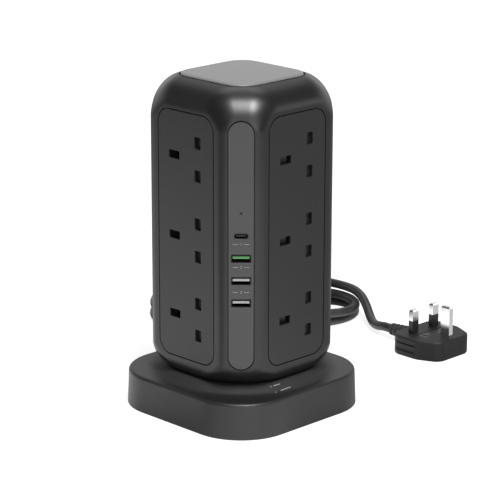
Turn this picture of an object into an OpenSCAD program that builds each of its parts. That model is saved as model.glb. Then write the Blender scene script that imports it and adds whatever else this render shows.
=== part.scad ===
// Tower power strip with sockets on four sides, a charging strip on one corner,
// a weighted base, and a mains lead with a moulded three-pin plug.
// The tower stands on +Z. Side 0 faces -Y, side 1 +X, side 2 +Y and side 3 -X.

/* [Tower] */
// Width across two opposite sides
tower_w = 103.4; // [98:1:112]
// Width across two opposite corner flats
tower_diag_w = 120.7; // [117:1:124]
// Radius between a side and a corner flat
tower_edge_r = 10; // [6:1:12]
// Extra radius there, half way up the rounding above
shoulder_swell = 14; // [0:1:16]
// Height of the tower body, up to the edge of the cap
tower_h = 199; // [197:1:215]
// Wall of the tower shell
tower_wall = 2.5; // [2:0.1:3]
// Height of the rounding above the sides
side_top_h = 16.5; // [14:0.5:17]
// Height of the rounding above the corner flats
corner_top_h = 26.5; // [20:0.5:30]
// Height of the rounding below the sides
side_low_h = 10.5; // [8:0.5:11]
// Height of the rounding below the corner flats
corner_low_h = 15.3; // [12:0.5:17]
// How far the underside draws in from the sides
underside_inset = 4; // [3.5:0.25:6]

/* [Cap] */
// Width of the square cap on top
cap_w = 68; // [60:1:72]
// Corner radius of the cap
cap_r = 16; // [12:1:20]
// Thickness of the cap
cap_t = 2.6; // [2:0.1:3.5]
// Height that the cap stands above its edge
cap_rise = 1.3; // [0.5:0.1:2]
// Width of the sloping edge of the cap
cap_bevel = 2; // [1:0.5:4]

/* [Face plates] */
// Width of a face plate
plate_w = 52.1; // [50:0.5:56]
// Height of a face plate
plate_h = 168.8; // [160:1:170]
// Corner radius of a face plate
plate_r = 10; // [6:1:12]
// Thickness of a face plate
plate_t = 2.5; // [2:0.1:3]
// Seam left all round a face plate
seam = 0.35; // [0.2:0.05:0.5]
// Ledge behind the edge of a face plate
ledge_w = 2.1; // [1.5:0.1:3]
// Thickness of that ledge
ledge_t = 2.3; // [1.5:0.1:2.4]

/* [Sockets] */
// Distance between one socket and the next
socket_pitch = 54.6; // [52:0.2:56]
// Distance from line and neutral pins to the earth pin
pin_reach = 22.23; // [22.1:0.01:22.4]
// Distance from line pin to neutral pin
pin_spread = 22.23; // [22.1:0.01:22.4]
// Length of the earth slot
earth_slot_l = 9.9; // [9:0.1:11]
// Height of the earth slot
earth_slot_h = 5.5; // [5:0.1:6.5]
// Width of a line or neutral slot
live_slot_w = 5.7; // [5:0.1:6.5]
// Height of a line or neutral slot
live_slot_h = 8; // [7.5:0.1:9]
// Depth of a socket carrier behind its shutters
carrier_d = 19.4; // [19.2:0.1:20]
// Width of a socket carrier
carrier_w = 49; // [46:0.5:50]

/* [Shutters] */
// Thickness of a shutter
shutter_t = 2.2; // [1.8:0.1:2.4]
// Width of the bar that closes line and neutral
shutter_bar_w = 7.2; // [6.6:0.1:7.6]
// How far a shutter slides
shutter_travel = 6.8; // [6.5:0.1:7]
// Clearance of each moving piece
play = 0.3; // [0.2:0.05:0.35]

/* [Charging strip] */
// Width of the charging strip
strip_w = 16.8; // [15:0.2:17]
// Height of the charging strip
strip_h = 167.4; // [160:0.5:169]
// Thickness of the charging strip
strip_t = 2.2; // [1.8:0.1:2.4]
// Ledge behind the edge of the charging strip
strip_ledge_w = 1.4; // [1.2:0.1:1.6]
// Distance between one port and the next
port_pitch = 15.2; // [14:0.2:16]
// Width of a wide port opening
port_a_w = 12; // [11.6:0.1:12.5]
// Height of a wide port opening
port_a_h = 4.6; // [4.4:0.1:5.2]
// Width of the small oval port opening
port_c_w = 8.4; // [8:0.1:9.2]
// Height of the small oval port opening
port_c_h = 2.6; // [2.4:0.1:3]
// Thickness of a port's metal wall
port_wall = 0.4; // [0.3:0.05:0.5]

/* [Switch] */
// Width of the switch bezel
switch_w = 15; // [14:0.5:18]
// Height of the switch bezel
switch_h = 21; // [20:0.5:24]
// How far the bezel stands out
switch_lip = 1; // [0.6:0.1:1.5]
// Depth of the switch body
switch_d = 14; // [12:0.5:16]
// Tilt of the rocker each way
rocker_tilt = 9; // [6:1:10]

/* [Base] */
// Width of the base at the floor
base_w = 133; // [130:1:140]
// Corner radius of the base at the floor
base_r = 37.5; // [30:0.5:40]
// Height of the base at its edge
base_h = 25; // [24.5:0.1:26]
// How far each side leans in towards the top
base_draft = 0.95; // [0.5:0.05:1.5]
// Wall of the base housing
base_wall = 2.5; // [2:0.1:3]
// Rounding of the top edge
base_edge_r = 2.2; // [1.5:0.1:2.5]
// Flat rim left between the flare and the widest line of the base
flare_rim = 6.5; // [5.5:0.5:9]
// Radius of the top of the flare
flare_top_r = 50; // [46:0.5:52]
// Height of the flare above the flat top of the base
flare_h = 5.2; // [4:0.1:6]
// Radius of the neck tube
neck_r = 18; // [15:0.5:20]
// Thickness of the ballast plate
ballast_t = 4; // [3:0.5:5]
// Thickness of the bottom cover
cover_t = 2; // [1.6:0.1:2.4]
// Radius of a rubber foot
foot_r = 7; // [6:0.5:8]

/* [Mains lead] */
// Diameter of the lead
cord_d = 6.8; // [6.6:0.1:6.9]
// Length of the strain relief on the base
gland_l = 24; // [22:1:26]
// Centre distance between one loop and the next
loop_pitch = 7.5; // [7.3:0.1:7.7]
// Height from one layer of loops to the next
layer_pitch = 7.4; // [7.3:0.1:7.6]

/* [Plug] */
// Length of the plug body along the lead
plug_l = 42; // [40:0.5:44]
// Width of the plug body
plug_w = 48; // [47.6:0.2:50]
// Thickness of the plug body
plug_t = 15; // [14:0.5:17]
// Length of the line and neutral pins
live_pin_l = 17.7; // [17.2:0.1:18.2]
// Length of the earth pin
earth_pin_l = 22.7; // [22.2:0.1:23.2]
// Length of the strain relief on the plug
boot_l = 20; // [16:1:22]

/* [Hidden] */
$fn = 48;
// Overrun of a cut past the face it opens
bite = 0.1;
// A quarter of a full circle, and an eighth
quarter_turn = 90;
eighth_turn = 45;
// Gap between two fixed pieces
fit_gap = 0.3;

tower_z0 = base_h + flare_h + fit_gap;
tower_top = tower_z0 + tower_h;
// Height of the middle of the plates above the underside of the tower
panel_rise = 96.4;
mid_z = tower_z0 + panel_rise;
side_d = tower_w / 2;
corner_d = tower_diag_w / 2;
// How far the ellipse of each rounding is run before it is cut off
top_cut_share = 0.946;
low_cut_share = 0.96;
cap_corner_d = sqrt(2) * cap_w / 2 - cap_r * (sqrt(2) - 1);
side_top_inset = side_d - cap_w / 2;
corner_top_inset = corner_d - cap_corner_d;
corner_low_inset = underside_inset * 2.75;
low_flat_w = 1.6;
low_edge_r = ((side_d - underside_inset) * sqrt(2) - corner_d + corner_low_inset - low_flat_w / 2)
    / (sqrt(2) - 1);
top_edge_r = cap_r - 0.5;
arc_steps = 5;
top_steps = 9;
low_steps = 6;
cap_seat = 1.3;
cap_rim = 0.4;

plate_depth = plate_t + ledge_t;
shutter_front = plate_t + play;
carrier_front = shutter_front + shutter_t + play;
carrier_back = carrier_front + carrier_d;
carrier_margin = 10;
earth_x = -10.9;
live_x = earth_x + pin_reach;
live_y = pin_spread / 2;
pocket_play = 1.1;
earth_pocket_l = 20;
earth_pocket_h = 9.2;
earth_pocket_x = -6.4;
earth_pocket_d = 17.8;
live_pocket_d = 13.6;
rail_h = 1.5;
rail_l = 37;
rail_y = pin_spread / 2 + live_slot_h / 2 + 2.2;
post_w = 1.6;
post_x = -22.4;
clip_t = 0.8;
earth_clip_d = 12;
live_clip_d = 11;
strip_bar_w = 3;
earth_bar_w = 6;
slot_play = 0.4;
bar_reach = 2;
bar_run = 16;
bar_sink = 1.1;
carrier_trim = 1;
rail_x = 3;

shutter_bar_h = 2 * rail_y - rail_h - 2 * play;
shutter_bar_x = live_x;
arm_x0 = earth_x - 4.3;
arm_in = 3.2;
arm_out = 6.4;
ramp_l = 10.1;
ramp_d = 4.6;
ramp_flat = 2;
ramp_w = 8.4;
ramp_x0 = earth_x - 2.7;
spring_d = 2;
spring_bore = 1.2;
spring_y = (arm_in + arm_out) / 2;

frame_w = 2 * (side_d - carrier_back - fit_gap);
frame_t = 2.2;
floor_t = 2.5;
frame_z0 = tower_z0 + floor_t + fit_gap;
frame_gap = 19.5;
frame_top = tower_top - frame_gap;
frame_window_w = 26;
frame_window_h = 30;
surge_rise = 28.7;
surge_z0 = frame_z0 + surge_rise;
surge_h = 110;
surge_w = frame_w - 2 * frame_t - 2 * fit_gap;
disc_r = 7;
disc_t = 4;
disc_pitch = 20;
block_w = 26;
block_d = 10;
block_h = 12;
lead_r = 1.4;
lead_pitch = 8;
lead_low = 9;

strip_r = strip_w / 2 - bite;
port_rise = 7.7;
pinhole_rise = 23;
port_top_z = mid_z + port_rise;
pinhole_z = mid_z + pinhole_rise;
pinhole_r = 0.7;
port_depth = 12;
board_t = 1.6;
port_tongue_t = 1.6;
tongue_back = 1.6;
port_sink = 0.3;
tongue_drop = 0.9;
usb_board_w = 14;
usb_board_h = 76;
usb_board_drop = 10.9;
usb_board_z = mid_z - usb_board_drop;

switch_wall = 1.4;
switch_rim = 1.2;
switch_body_w = switch_w - 2 * switch_rim;
switch_body_h = switch_h - 2 * switch_rim;
switch_pocket_h = switch_body_h - 2 * switch_wall;
rocker_w = switch_body_w - 2 * switch_wall - 2 * play;
switch_y = -socket_pitch;
pivot_r = 1;
pivot_play = 0.08;
pivot_depth = 2.2;
rocker_h = 14.6;
rocker_drop = 6;
rocker_crown = 2.6;
rocker_dish_r = 30;
rocker_dish = 0.8;
blade_w = 6.3;
blade_t = 0.8;
blade_l = 8;

base_z0 = 0.8;
base_top_r = base_r - base_draft;
base_steps = 8;
flare_steps = 7;
flare_r = base_w / 2 - flare_rim;
neck_t = 2.5;
neck_run = 6;
neck_low = base_h - neck_run;
flange_r = 23.5;
boss_r = 3.6;
boss_margin = 16.5;
boss_xy = base_w / 2 - boss_margin;
screw_r = 1.4;
screw_head_r = 2.8;
screw_head_h = 1.7;
tower_screw_xy = 29;
foot_margin = 28.5;
foot_xy = base_w / 2 - foot_margin;
foot_sink = 0.8;
foot_t = base_z0 + foot_sink;
ballast_margin = 24.5;
ballast_w = base_w - 2 * ballast_margin;
ballast_corner_r = 12;
lamp_margin = 12.4;
lamp_pitch = 4.6;
lamp_x = [base_w / 2 - lamp_margin - lamp_pitch, base_w / 2 - lamp_margin];
lamp_y = -21.7;
lamp_r = 0.9;
lamp_board_t = 1.2;
lamp_board_l = 24;
lamp_board_w = 10.5;
lamp_board_drop = 8;
lamp_board_z = base_h - lamp_board_drop;

gland_x = -25;
gland_z = 12;
gland_r = 5.6;
gland_tip_r = 4.6;
gland_flange_r = 8;
gland_flange_t = 2;
gland_ribs = 5;
rib_start = 4;
rib_depth = 0.7;
side_y = base_w / 2 - base_draft / 2;

// The coil: two layers of loops round two discs, a large one and a small one
coil_x = -135;
coil_y = 134;
coil_turn = 45;
coil_big_x = -16;
coil_big_r = 54;
coil_small_x = 78.4;
coil_small_r = 28;
coil_turns = 2.75;
// How far the small disc moves for each loop, so that the sides of the loops keep their pitch
small_shift = loop_pitch * (coil_small_x - coil_big_x) / (coil_big_r - coil_small_r);
coil_rings = 24;
coil_sides = 6;
cord_sides = 8;

plug_x = 3;
plug_y = 173;
plug_edge_r = 9;
plug_nose_share = 0.82;
plug_shoulder_share = 0.55;
plug_edge = 1;
cord_z = 8;
live_pin_back = 11.5;
live_pin_x = plug_x + live_pin_back;
earth_pin_x = live_pin_x + pin_reach;
live_pin_w = 6.35;
live_pin_t = 4;
earth_pin_w = 8;
earth_pin_t = 4;
pin_tip = 1.2;
sleeve_l = 9.5;
pin_core = 1.2;
pin_root = 7.5;
boot_r = 5.6;
boot_tip_r = 4.4;
boot_ribs = 4;
fuse_r = 3.15;
fuse_l = 25.4;
carrier_box_w = 8.6;
carrier_box_l = 28;
carrier_box_d = 8.2;
grip_l = 18;
grip_h = 1.6;
grip_d = 1;
fuse_x = live_pin_x + pin_reach * 0.47;

body_col = [0.17, 0.17, 0.18];
plate_col = [0.24, 0.24, 0.25];
strip_col = [0.32, 0.32, 0.33];
cap_col = [0.55, 0.55, 0.55];
inner_col = [0.85, 0.85, 0.82];
shutter_col = [0.06, 0.06, 0.06];
brass_col = [0.78, 0.62, 0.3];
steel_col = [0.7, 0.7, 0.72];
board_col = [0.1, 0.4, 0.2];
rubber_col = [0.08, 0.08, 0.08];
cord_col = [0.14, 0.14, 0.14];
green_col = [0.1, 0.6, 0.3];

SIDES = ["front", "right", "back", "left"];

// Shapes used by several pieces

// A flat rectangle with round corners
module rounded_rect(w, h, r) {
    square([w - 2 * r, h], center = true);
    square([w, h - 2 * r], center = true);
    for (x = [-1, 1], y = [-1, 1])
        translate([x * (w / 2 - r), y * (h / 2 - r)])
            circle(r);
}

// A plate with round corners that reaches from its front face back by t
module plate_back(w, h, r, t) {
    translate([0, 0, -t])
        linear_extrude(t)
            rounded_rect(w, h, r);
}

// A box centred on X and Y that reaches from depth d0 back to depth d1
module deep_box(x, y, w, h, d0, d1) {
    translate([x - w / 2, y - h / 2, -d1])
        cube([w, h, d1 - d0]);
}

// Joins a stack of rings, each with the same number of points, into one solid
module skin(rings) {
    n = len(rings[0]);
    m = len(rings);
    polyhedron(
        points = [for (ring = rings) each ring],
        faces = concat(
            [[for (i = [0:n - 1]) i]],
            [[for (i = [0:n - 1]) m * n - 1 - i]],
            [for (j = [0:m - 2], i = [0:n - 1])
                [j * n + i, (j + 1) * n + (i + 1) % n, j * n + (i + 1) % n]],
            [for (j = [0:m - 2], i = [0:n - 1])
                [j * n + i, (j + 1) * n + i, (j + 1) * n + (i + 1) % n]]
        )
    );
}

// A ring with four sides at distance f, four corner flats at distance g, and radius r between them
function tower_ring(f, g, r, z) = [
    for (k = [0:7], i = [0:arc_steps - 1])
        let (
            lean = k * eighth_turn - eighth_turn / 2,
            near = (k % 2 == 0) ? g : f,
            from = k * eighth_turn - eighth_turn,
            far = (k % 2 == 0) ? f : g,
            turn = from + i * eighth_turn / (arc_steps - 1),
            c = meet(from, near - r, from + eighth_turn, far - r)
        )
        [c[0] + r * cos(turn), c[1] + r * sin(turn), z]
];

// Where two lines cross, each given by the angle of its normal and its distance from the centre
function meet(a, da, b, db) = [
    (da * sin(b) - db * sin(a)) / sin(b - a),
    (db * cos(a) - da * cos(b)) / sin(b - a)
];

// A square ring with round corners
function square_ring(half, r, z) = [
    for (k = [0:3], i = [0:base_steps])
        let (
            turn = quarter_turn * k + i * quarter_turn / base_steps,
            sx = (k == 0 || k == 3) ? 1 : -1,
            sy = (k < 2) ? 1 : -1
        )
        [sx * (half - r) + r * cos(turn), sy * (half - r) + r * sin(turn), z]
];

// How far an ellipse has drawn in after share t of its height
function drawn_in(t) = 1 - sqrt(1 - t * t);

// Distance of a surface at height z, with the given full insets and heights above and below
function profile(z, d, top_h, top_in, low_h, low_in) =
    z > tower_top - top_h
        ? d - top_in * drawn_in(top_cut_share * (z - tower_top + top_h) / top_h) / drawn_in(top_cut_share)
    : z < tower_z0 + low_h
        ? d - low_in * drawn_in(low_cut_share * (tower_z0 + low_h - z) / low_h) / drawn_in(low_cut_share)
    : d;

// Radius between side and corner flat at height z
function edge_radius(z) =
    z > tower_top - corner_top_h
        ? let (t = (z - tower_top + corner_top_h) / corner_top_h)
            tower_edge_r + (top_edge_r - tower_edge_r) * t + shoulder_swell * pow(4 * t * (1 - t), 2)
    : z < tower_z0 + corner_low_h
        ? tower_edge_r + (low_edge_r - tower_edge_r) * (tower_z0 + corner_low_h - z) / corner_low_h
    : tower_edge_r;

// Heights of the rings, closer together where the surface curves most
tower_heights = concat(
    [for (i = [0:low_steps]) tower_z0 + corner_low_h * (1 - cos(quarter_turn * i / low_steps))],
    [for (i = [0:top_steps]) tower_top - corner_top_h * (1 - sin(quarter_turn * i / top_steps))]
);

// The outer form of the tower, drawn in by t, and open to below when t is more than zero
module tower_form(t) {
    run = t > 0 ? bite : 0;
    skin([
        for (z = tower_heights)
            tower_ring(
                profile(z, side_d, side_top_h, side_top_inset, side_low_h, underside_inset) - t,
                profile(z, corner_d, corner_top_h, corner_top_inset, corner_low_h, corner_low_inset) - t,
                edge_radius(z) - t,
                tower_z0 - run + (z - tower_z0) * (tower_h - t + run) / tower_h
            )
    ]);
}

// Puts a piece in the frame of side k: X to the right, Y up, Z out of the face
module on_side(k) {
    rotate([0, 0, quarter_turn * k])
        translate([0, -side_d, mid_z])
            rotate([quarter_turn, 0, 0])
                children();
}

// Puts a piece in the frame of the corner flat between sides 0 and 1
module on_corner() {
    rotate([0, 0, eighth_turn])
        translate([0, -corner_d, mid_z])
            rotate([quarter_turn, 0, 0])
                children();
}

// The outer casing of the tower, with ledges for its plates
module tower_shell() {
    color(body_col)
        difference() {
            union() {
                difference() {
                    tower_form(0);
                    tower_form(tower_wall);
                }
                for (k = [0:3])
                    on_side(k)
                        translate([0, 0, -tower_wall + bite])
                            plate_back(plate_w + 2 * ledge_w, plate_h + 2 * ledge_w,
                                plate_r + ledge_w, plate_depth - tower_wall + bite);
                on_corner()
                    translate([0, 0, -tower_wall + bite])
                        plate_back(strip_w + 2 * ledge_w, strip_h + 2 * ledge_w,
                            strip_r + ledge_w, strip_t + ledge_t - tower_wall + bite);
            }
            for (k = [0:3])
                on_side(k) {
                    translate([0, 0, bite])
                        plate_back(plate_w + 2 * seam, plate_h + 2 * seam, plate_r + seam, plate_t + bite);
                    plate_back(plate_w - 2 * ledge_w, plate_h - 2 * ledge_w,
                        plate_r - ledge_w, plate_depth + bite);
                }
            on_corner() {
                translate([0, 0, bite])
                    plate_back(strip_w + 2 * seam, strip_h + 2 * seam, strip_r + seam, strip_t + bite);
                plate_back(strip_w - 2 * strip_ledge_w, strip_h - 2 * strip_ledge_w,
                    strip_r - strip_ledge_w, strip_t + ledge_t + bite);
            }
            translate([0, 0, tower_top - cap_seat])
                linear_extrude(cap_t)
                    rounded_rect(cap_w - 2 * cap_rim, cap_w - 2 * cap_rim, cap_r - cap_rim);
        }
}

// The square cap, with a sloping edge
module top_cap() {
    half = cap_w / 2 - cap_rim - seam;
    r = cap_r - cap_rim - seam;
    z0 = tower_top - cap_seat + fit_gap / 3;
    z1 = tower_top + cap_rise;
    color(cap_col)
        skin([
            square_ring(half, r, z0),
            square_ring(half, r, tower_top),
            square_ring(half - cap_bevel / 4, r - cap_bevel / 4, tower_top + cap_rise * 0.55),
            square_ring(half - cap_bevel, r - cap_bevel, z1)
        ]);
}

// The nine slots of three sockets, or the six of two
module socket_slots(rows) {
    for (row = rows)
        translate([0, row * socket_pitch, 0]) {
            deep_box(earth_x, 0, earth_slot_l, earth_slot_h, -bite, plate_t + bite);
            for (y = [-live_y, live_y])
                deep_box(live_x, y, live_slot_w, live_slot_h, -bite, plate_t + bite);
        }
}

module face_plate(rows) {
    color(plate_col)
        difference() {
            plate_back(plate_w, plate_h, plate_r, plate_t);
            socket_slots(rows);
            if (len(rows) == 2)
                deep_box(0, switch_y, switch_body_w + 2 * fit_gap, switch_body_h + 2 * fit_gap,
                    -bite, plate_t + bite);
        }
}
module face_plate_front() { on_side(0) face_plate([-1, 0, 1]); }
module face_plate_right() { on_side(1) face_plate([-1, 0, 1]); }
module face_plate_back() { on_side(2) face_plate([-1, 0, 1]); }
module face_plate_left() { on_side(3) face_plate([0, 1]); }

// The moulded block that holds the contacts of one side and guides its shutters
module carrier(rows) {
    low = rows[0] * socket_pitch - socket_pitch / 2 + carrier_trim;
    high = socket_pitch * 1.5 - carrier_trim;
    color(inner_col)
        difference() {
            union() {
                deep_box(0, (low + high) / 2, carrier_w, high - low, carrier_front, carrier_back);
                for (row = rows)
                    translate([0, row * socket_pitch, 0]) {
                        for (y = [-rail_y, rail_y])
                            deep_box(rail_x, y, rail_l, rail_h, shutter_front, carrier_front + bite);
                        deep_box(post_x, spring_y, post_w, post_w, shutter_front, carrier_front + bite);
                    }
            }
            contact_bar(earth_x, earth_bar_w, rows, slot_play, bite);
            for (s = [-1, 1])
                contact_bar(live_x + s * bar_reach, strip_bar_w, rows, slot_play, bite);
            for (row = rows)
                translate([0, row * socket_pitch, 0])
                    contact_pockets();
        }
}

// The hollows behind one socket
module contact_pockets() {
    deep_box(earth_pocket_x, 0, earth_pocket_l, earth_pocket_h,
        carrier_front - bite, carrier_front + earth_pocket_d);
    deep_box(earth_x, 0, earth_bar_w + slot_play, clip_t + slot_play,
        carrier_front, carrier_back + bite);
    for (s = [-1, 1]) {
        deep_box(live_x, s * live_y, live_slot_w + 2 * pocket_play, live_slot_h + 2 * pocket_play,
            carrier_front - bite, carrier_front + live_pocket_d);
        deep_box(live_x + s * bar_reach, s * live_y, strip_bar_w + slot_play, clip_t + slot_play,
            carrier_front, carrier_back + bite);
    }
}
module carrier_front() { on_side(0) carrier([-1, 0, 1]); }
module carrier_right() { on_side(1) carrier([-1, 0, 1]); }
module carrier_back() { on_side(2) carrier([-1, 0, 1]); }
module carrier_left() { on_side(3) carrier([0, 1]); }

// One shutter: a bar that closes line and neutral, two arms, and a ramp for the earth pin
module shutter(side, row) {
    color(shutter_col)
        on_side(side)
            translate([0, row * socket_pitch, 0]) {
                deep_box(shutter_bar_x, 0, shutter_bar_w, shutter_bar_h,
                    shutter_front, shutter_front + shutter_t);
                for (s = [-1, 1])
                    deep_box((arm_x0 + shutter_bar_x) / 2, s * (arm_in + arm_out) / 2,
                        shutter_bar_x - arm_x0, arm_out - arm_in,
                        shutter_front, shutter_front + shutter_t);
                translate([ramp_x0, ramp_w / 2, -shutter_front - shutter_t + bite])
                    rotate([quarter_turn, 0, 0])
                        linear_extrude(ramp_w)
                            polygon([
                                [0, -ramp_d],
                                [ramp_l, -ramp_d],
                                [ramp_l, 0],
                                [ramp_l - ramp_flat, 0]
                            ]);
            }
}
module shutter_front_low() { shutter(0, -1); }
module shutter_front_mid() { shutter(0, 0); }
module shutter_front_top() { shutter(0, 1); }
module shutter_right_low() { shutter(1, -1); }
module shutter_right_mid() { shutter(1, 0); }
module shutter_right_top() { shutter(1, 1); }
module shutter_back_low() { shutter(2, -1); }
module shutter_back_mid() { shutter(2, 0); }
module shutter_back_top() { shutter(2, 1); }
module shutter_left_mid() { shutter(3, 0); }
module shutter_left_top() { shutter(3, 1); }

// Rows of sockets on side k
function rows_of(k) = k == 3 ? [0, 1] : [-1, 0, 1];

// One small return spring for each shutter, drawn as its sleeve
module shutter_springs() {
    x0 = post_x + post_w / 2 + play / 2;
    x1 = arm_x0 - play / 2;
    color(steel_col)
        for (k = [0:3])
            on_side(k)
                for (row = rows_of(k))
                    translate([x0, row * socket_pitch + spring_y, -shutter_front - shutter_t / 2])
                        rotate([0, quarter_turn, 0])
                            difference() {
                                cylinder(h = x1 - x0, d = spring_d);
                                translate([0, 0, -bite])
                                    cylinder(h = x1 - x0 + 2 * bite, d = spring_bore);
                            }
}

// A spring clip of two leaves round one pin, with a tail to its bar at the back
module clip(x, y, along, across, depth, tail_x, tail_w) {
    front = carrier_front + depth[0];
    back = carrier_front + depth[1];
    for (s = [-1, 1])
        deep_box(x, y + s * (across + clip_t) / 2, along, clip_t, front, back);
    deep_box(x, y, along, across + 2 * clip_t, back - clip_t, back);
    deep_box(tail_x, y, tail_w, clip_t, back - clip_t, carrier_back - fit_gap);
}

// A flat bar let into the back of a carrier; extra widens and lengthens it for its groove
module contact_bar(x, w, rows, extra = 0, lift = 0) {
    low = rows[0] * socket_pitch - bar_run;
    high = rows[len(rows) - 1] * socket_pitch + bar_run;
    deep_box(x, (low + high) / 2, w + extra, high - low + extra,
        carrier_back - bar_sink - lift, carrier_back - bar_sink + clip_t + 4 * lift);
}

module earth_contacts() {
    color(brass_col)
        for (k = [0:3])
            on_side(k) {
                contact_bar(earth_x, earth_bar_w, rows_of(k));
                for (row = rows_of(k))
                    translate([0, row * socket_pitch, 0])
                        clip(earth_x, 0, earth_pin_w - 1, earth_pin_t - slot_play,
                            [ramp_d + 2 * play, earth_pocket_d - play], earth_x, earth_bar_w);
            }
}

// Clips of one pole: s is 1 for line and -1 for neutral
module live_contacts(s) {
    color(brass_col)
        for (k = [0:3])
            on_side(k) {
                contact_bar(live_x + s * bar_reach, strip_bar_w, rows_of(k));
                for (row = rows_of(k))
                    translate([0, row * socket_pitch, 0])
                        clip(live_x, s * live_y, live_pin_t - slot_play, live_pin_w - slot_play,
                            [play, live_pocket_d - play], live_x + s * bar_reach, strip_bar_w);
            }
}
module line_contacts() { live_contacts(1); }
module neutral_contacts() { live_contacts(-1); }

// The square frame in the middle, which the four carriers are screwed to
module centre_frame() {
    color(inner_col)
        translate([0, 0, frame_z0])
            difference() {
                linear_extrude(frame_top - frame_z0)
                    difference() {
                        square(frame_w, center = true);
                        square(frame_w - 2 * frame_t, center = true);
                    }
                for (z = [1:4])
                    translate([0, 0, z * (frame_top - frame_z0) / 5])
                        for (k = [0, 1])
                            rotate([0, 0, quarter_turn * k])
                                cube([frame_window_w, frame_w + 2 * bite, frame_window_h / 2], center = true);
            }
}

// The board that carries the surge protection
module surge_board() {
    color(board_col)
        translate([-surge_w / 2, -board_t / 2, surge_z0])
            cube([surge_w, board_t, surge_h]);
}

// Three surge discs soldered to that board
module surge_discs() {
    color([0.1, 0.25, 0.6])
        for (i = [-1, 0, 1])
            translate([0, -board_t / 2 - fit_gap / 3, surge_z0 + surge_h * 0.6 + i * disc_pitch])
                rotate([quarter_turn, 0, 0])
                    cylinder(h = disc_t, r = disc_r);
}

// Where the three cores of the lead are screwed down
module terminal_block() {
    color([0.9, 0.9, 0.88])
        difference() {
            translate([-block_w / 2, board_t / 2 + fit_gap / 3, surge_z0 + block_h])
                cube([block_w, block_d, block_h]);
            for (i = [-1, 0, 1])
                translate([i * lead_pitch, board_t / 2 + block_d / 2, surge_z0 + block_h - bite])
                    cylinder(h = block_h / 2, r = lead_r + fit_gap / 2);
        }
}

// The three cores of the lead, up through the neck to the terminal block
module inner_leads() {
    color([0.45, 0.3, 0.2])
        for (i = [-1, 0, 1])
            translate([i * lead_pitch, board_t / 2 + block_d / 2, lead_low])
                cylinder(h = surge_z0 + block_h + block_h / 3 - lead_low, r = lead_r);
}

// Height of port i below the small oval port, in the frame of the corner
function port_y(i) = port_top_z - i * port_pitch - mid_z;

// An opening with round ends, from depth d0 back to depth d1
module oval_hole(w, h, d0, d1) {
    translate([0, 0, -d1])
        linear_extrude(d1 - d0) {
            square([w - h, h], center = true);
            for (s = [-1, 1])
                translate([s * (w - h) / 2, 0])
                    circle(d = h);
        }
}

// The long strip on the corner that frames the charging ports
module charging_strip() {
    color(strip_col)
        on_corner()
            difference() {
                plate_back(strip_w, strip_h, strip_r, strip_t);
                translate([0, port_y(0), 0])
                    oval_hole(port_c_w + 2 * port_wall + play, port_c_h + 2 * port_wall + play,
                        -bite, strip_t + bite);
                for (i = [1:3])
                    deep_box(0, port_y(i), port_a_w + 2 * port_wall + play, port_a_h + 2 * port_wall + play,
                        -bite, strip_t + bite);
                translate([0, pinhole_z - mid_z, -strip_t - bite])
                    cylinder(h = strip_t + 2 * bite, r = pinhole_r + play / 2);
            }
}

// The metal shell of the small oval port
module usb_c_port() {
    color(steel_col)
        on_corner()
            translate([0, port_y(0), 0])
                difference() {
                    oval_hole(port_c_w + 2 * port_wall, port_c_h + 2 * port_wall, port_sink, port_depth);
                    oval_hole(port_c_w, port_c_h, port_sink - bite, port_depth - tongue_back);
                }
}

// The tongue inside the small oval port
module usb_c_tongue() {
    color(shutter_col)
        on_corner()
            deep_box(0, port_y(0), port_c_w - 2, port_c_h / 3.5, port_sink + 1, port_depth - tongue_back - bite);
}

// The metal shells of the three wide ports
module usb_a_ports() {
    color(steel_col)
        on_corner()
            for (i = [1:3])
                translate([0, port_y(i), 0])
                    difference() {
                        deep_box(0, 0, port_a_w + 2 * port_wall, port_a_h + 2 * port_wall,
                            port_sink, port_depth);
                        deep_box(0, 0, port_a_w, port_a_h, port_sink - bite, port_depth - tongue_back);
                    }
}

// The contact tongue of wide port i
module usb_a_tongue(i) {
    on_corner()
        deep_box(0, port_y(i) + port_a_h / 2 - port_tongue_t / 2 - tongue_drop, port_a_w - 1,
            port_tongue_t, port_sink + 0.6, port_depth - tongue_back - bite);
}
module usb_tongue_green() { color(green_col) usb_a_tongue(1); }
module usb_tongues_pale() { color([0.85, 0.85, 0.85]) for (i = [2, 3]) usb_a_tongue(i); }

// The charger board behind the ports
module usb_board() {
    color(board_col)
        on_corner()
            deep_box(0, usb_board_z - mid_z, usb_board_w, usb_board_h,
                port_depth + fit_gap, port_depth + fit_gap + board_t);
}

// The small lamp behind the pinhole
module status_lamp() {
    color([0.8, 0.85, 0.9])
        on_corner()
            translate([0, pinhole_z - mid_z, -port_depth])
                cylinder(h = port_depth - strip_t / 2, r = pinhole_r);
}

// The fixed half of the master switch: bezel and body, with two pivot holes
module switch_housing() {
    color(body_col)
        on_side(3)
            translate([0, switch_y, 0])
                difference() {
                    union() {
                        translate([0, 0, switch_lip])
                            plate_back(switch_w, switch_h, switch_lip, switch_lip - fit_gap / 3);
                        deep_box(0, 0, switch_body_w, switch_body_h, -switch_lip / 2, switch_d);
                    }
                    deep_box(0, 0, switch_body_w - 2 * switch_wall, switch_pocket_h,
                        -switch_lip - bite, rocker_drop + 2 * play);
                    translate([-switch_body_w / 2 - bite, 0, -pivot_depth])
                        rotate([0, quarter_turn, 0])
                            cylinder(h = switch_body_w + 2 * bite, r = pivot_r + pivot_play);
                }
}

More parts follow.
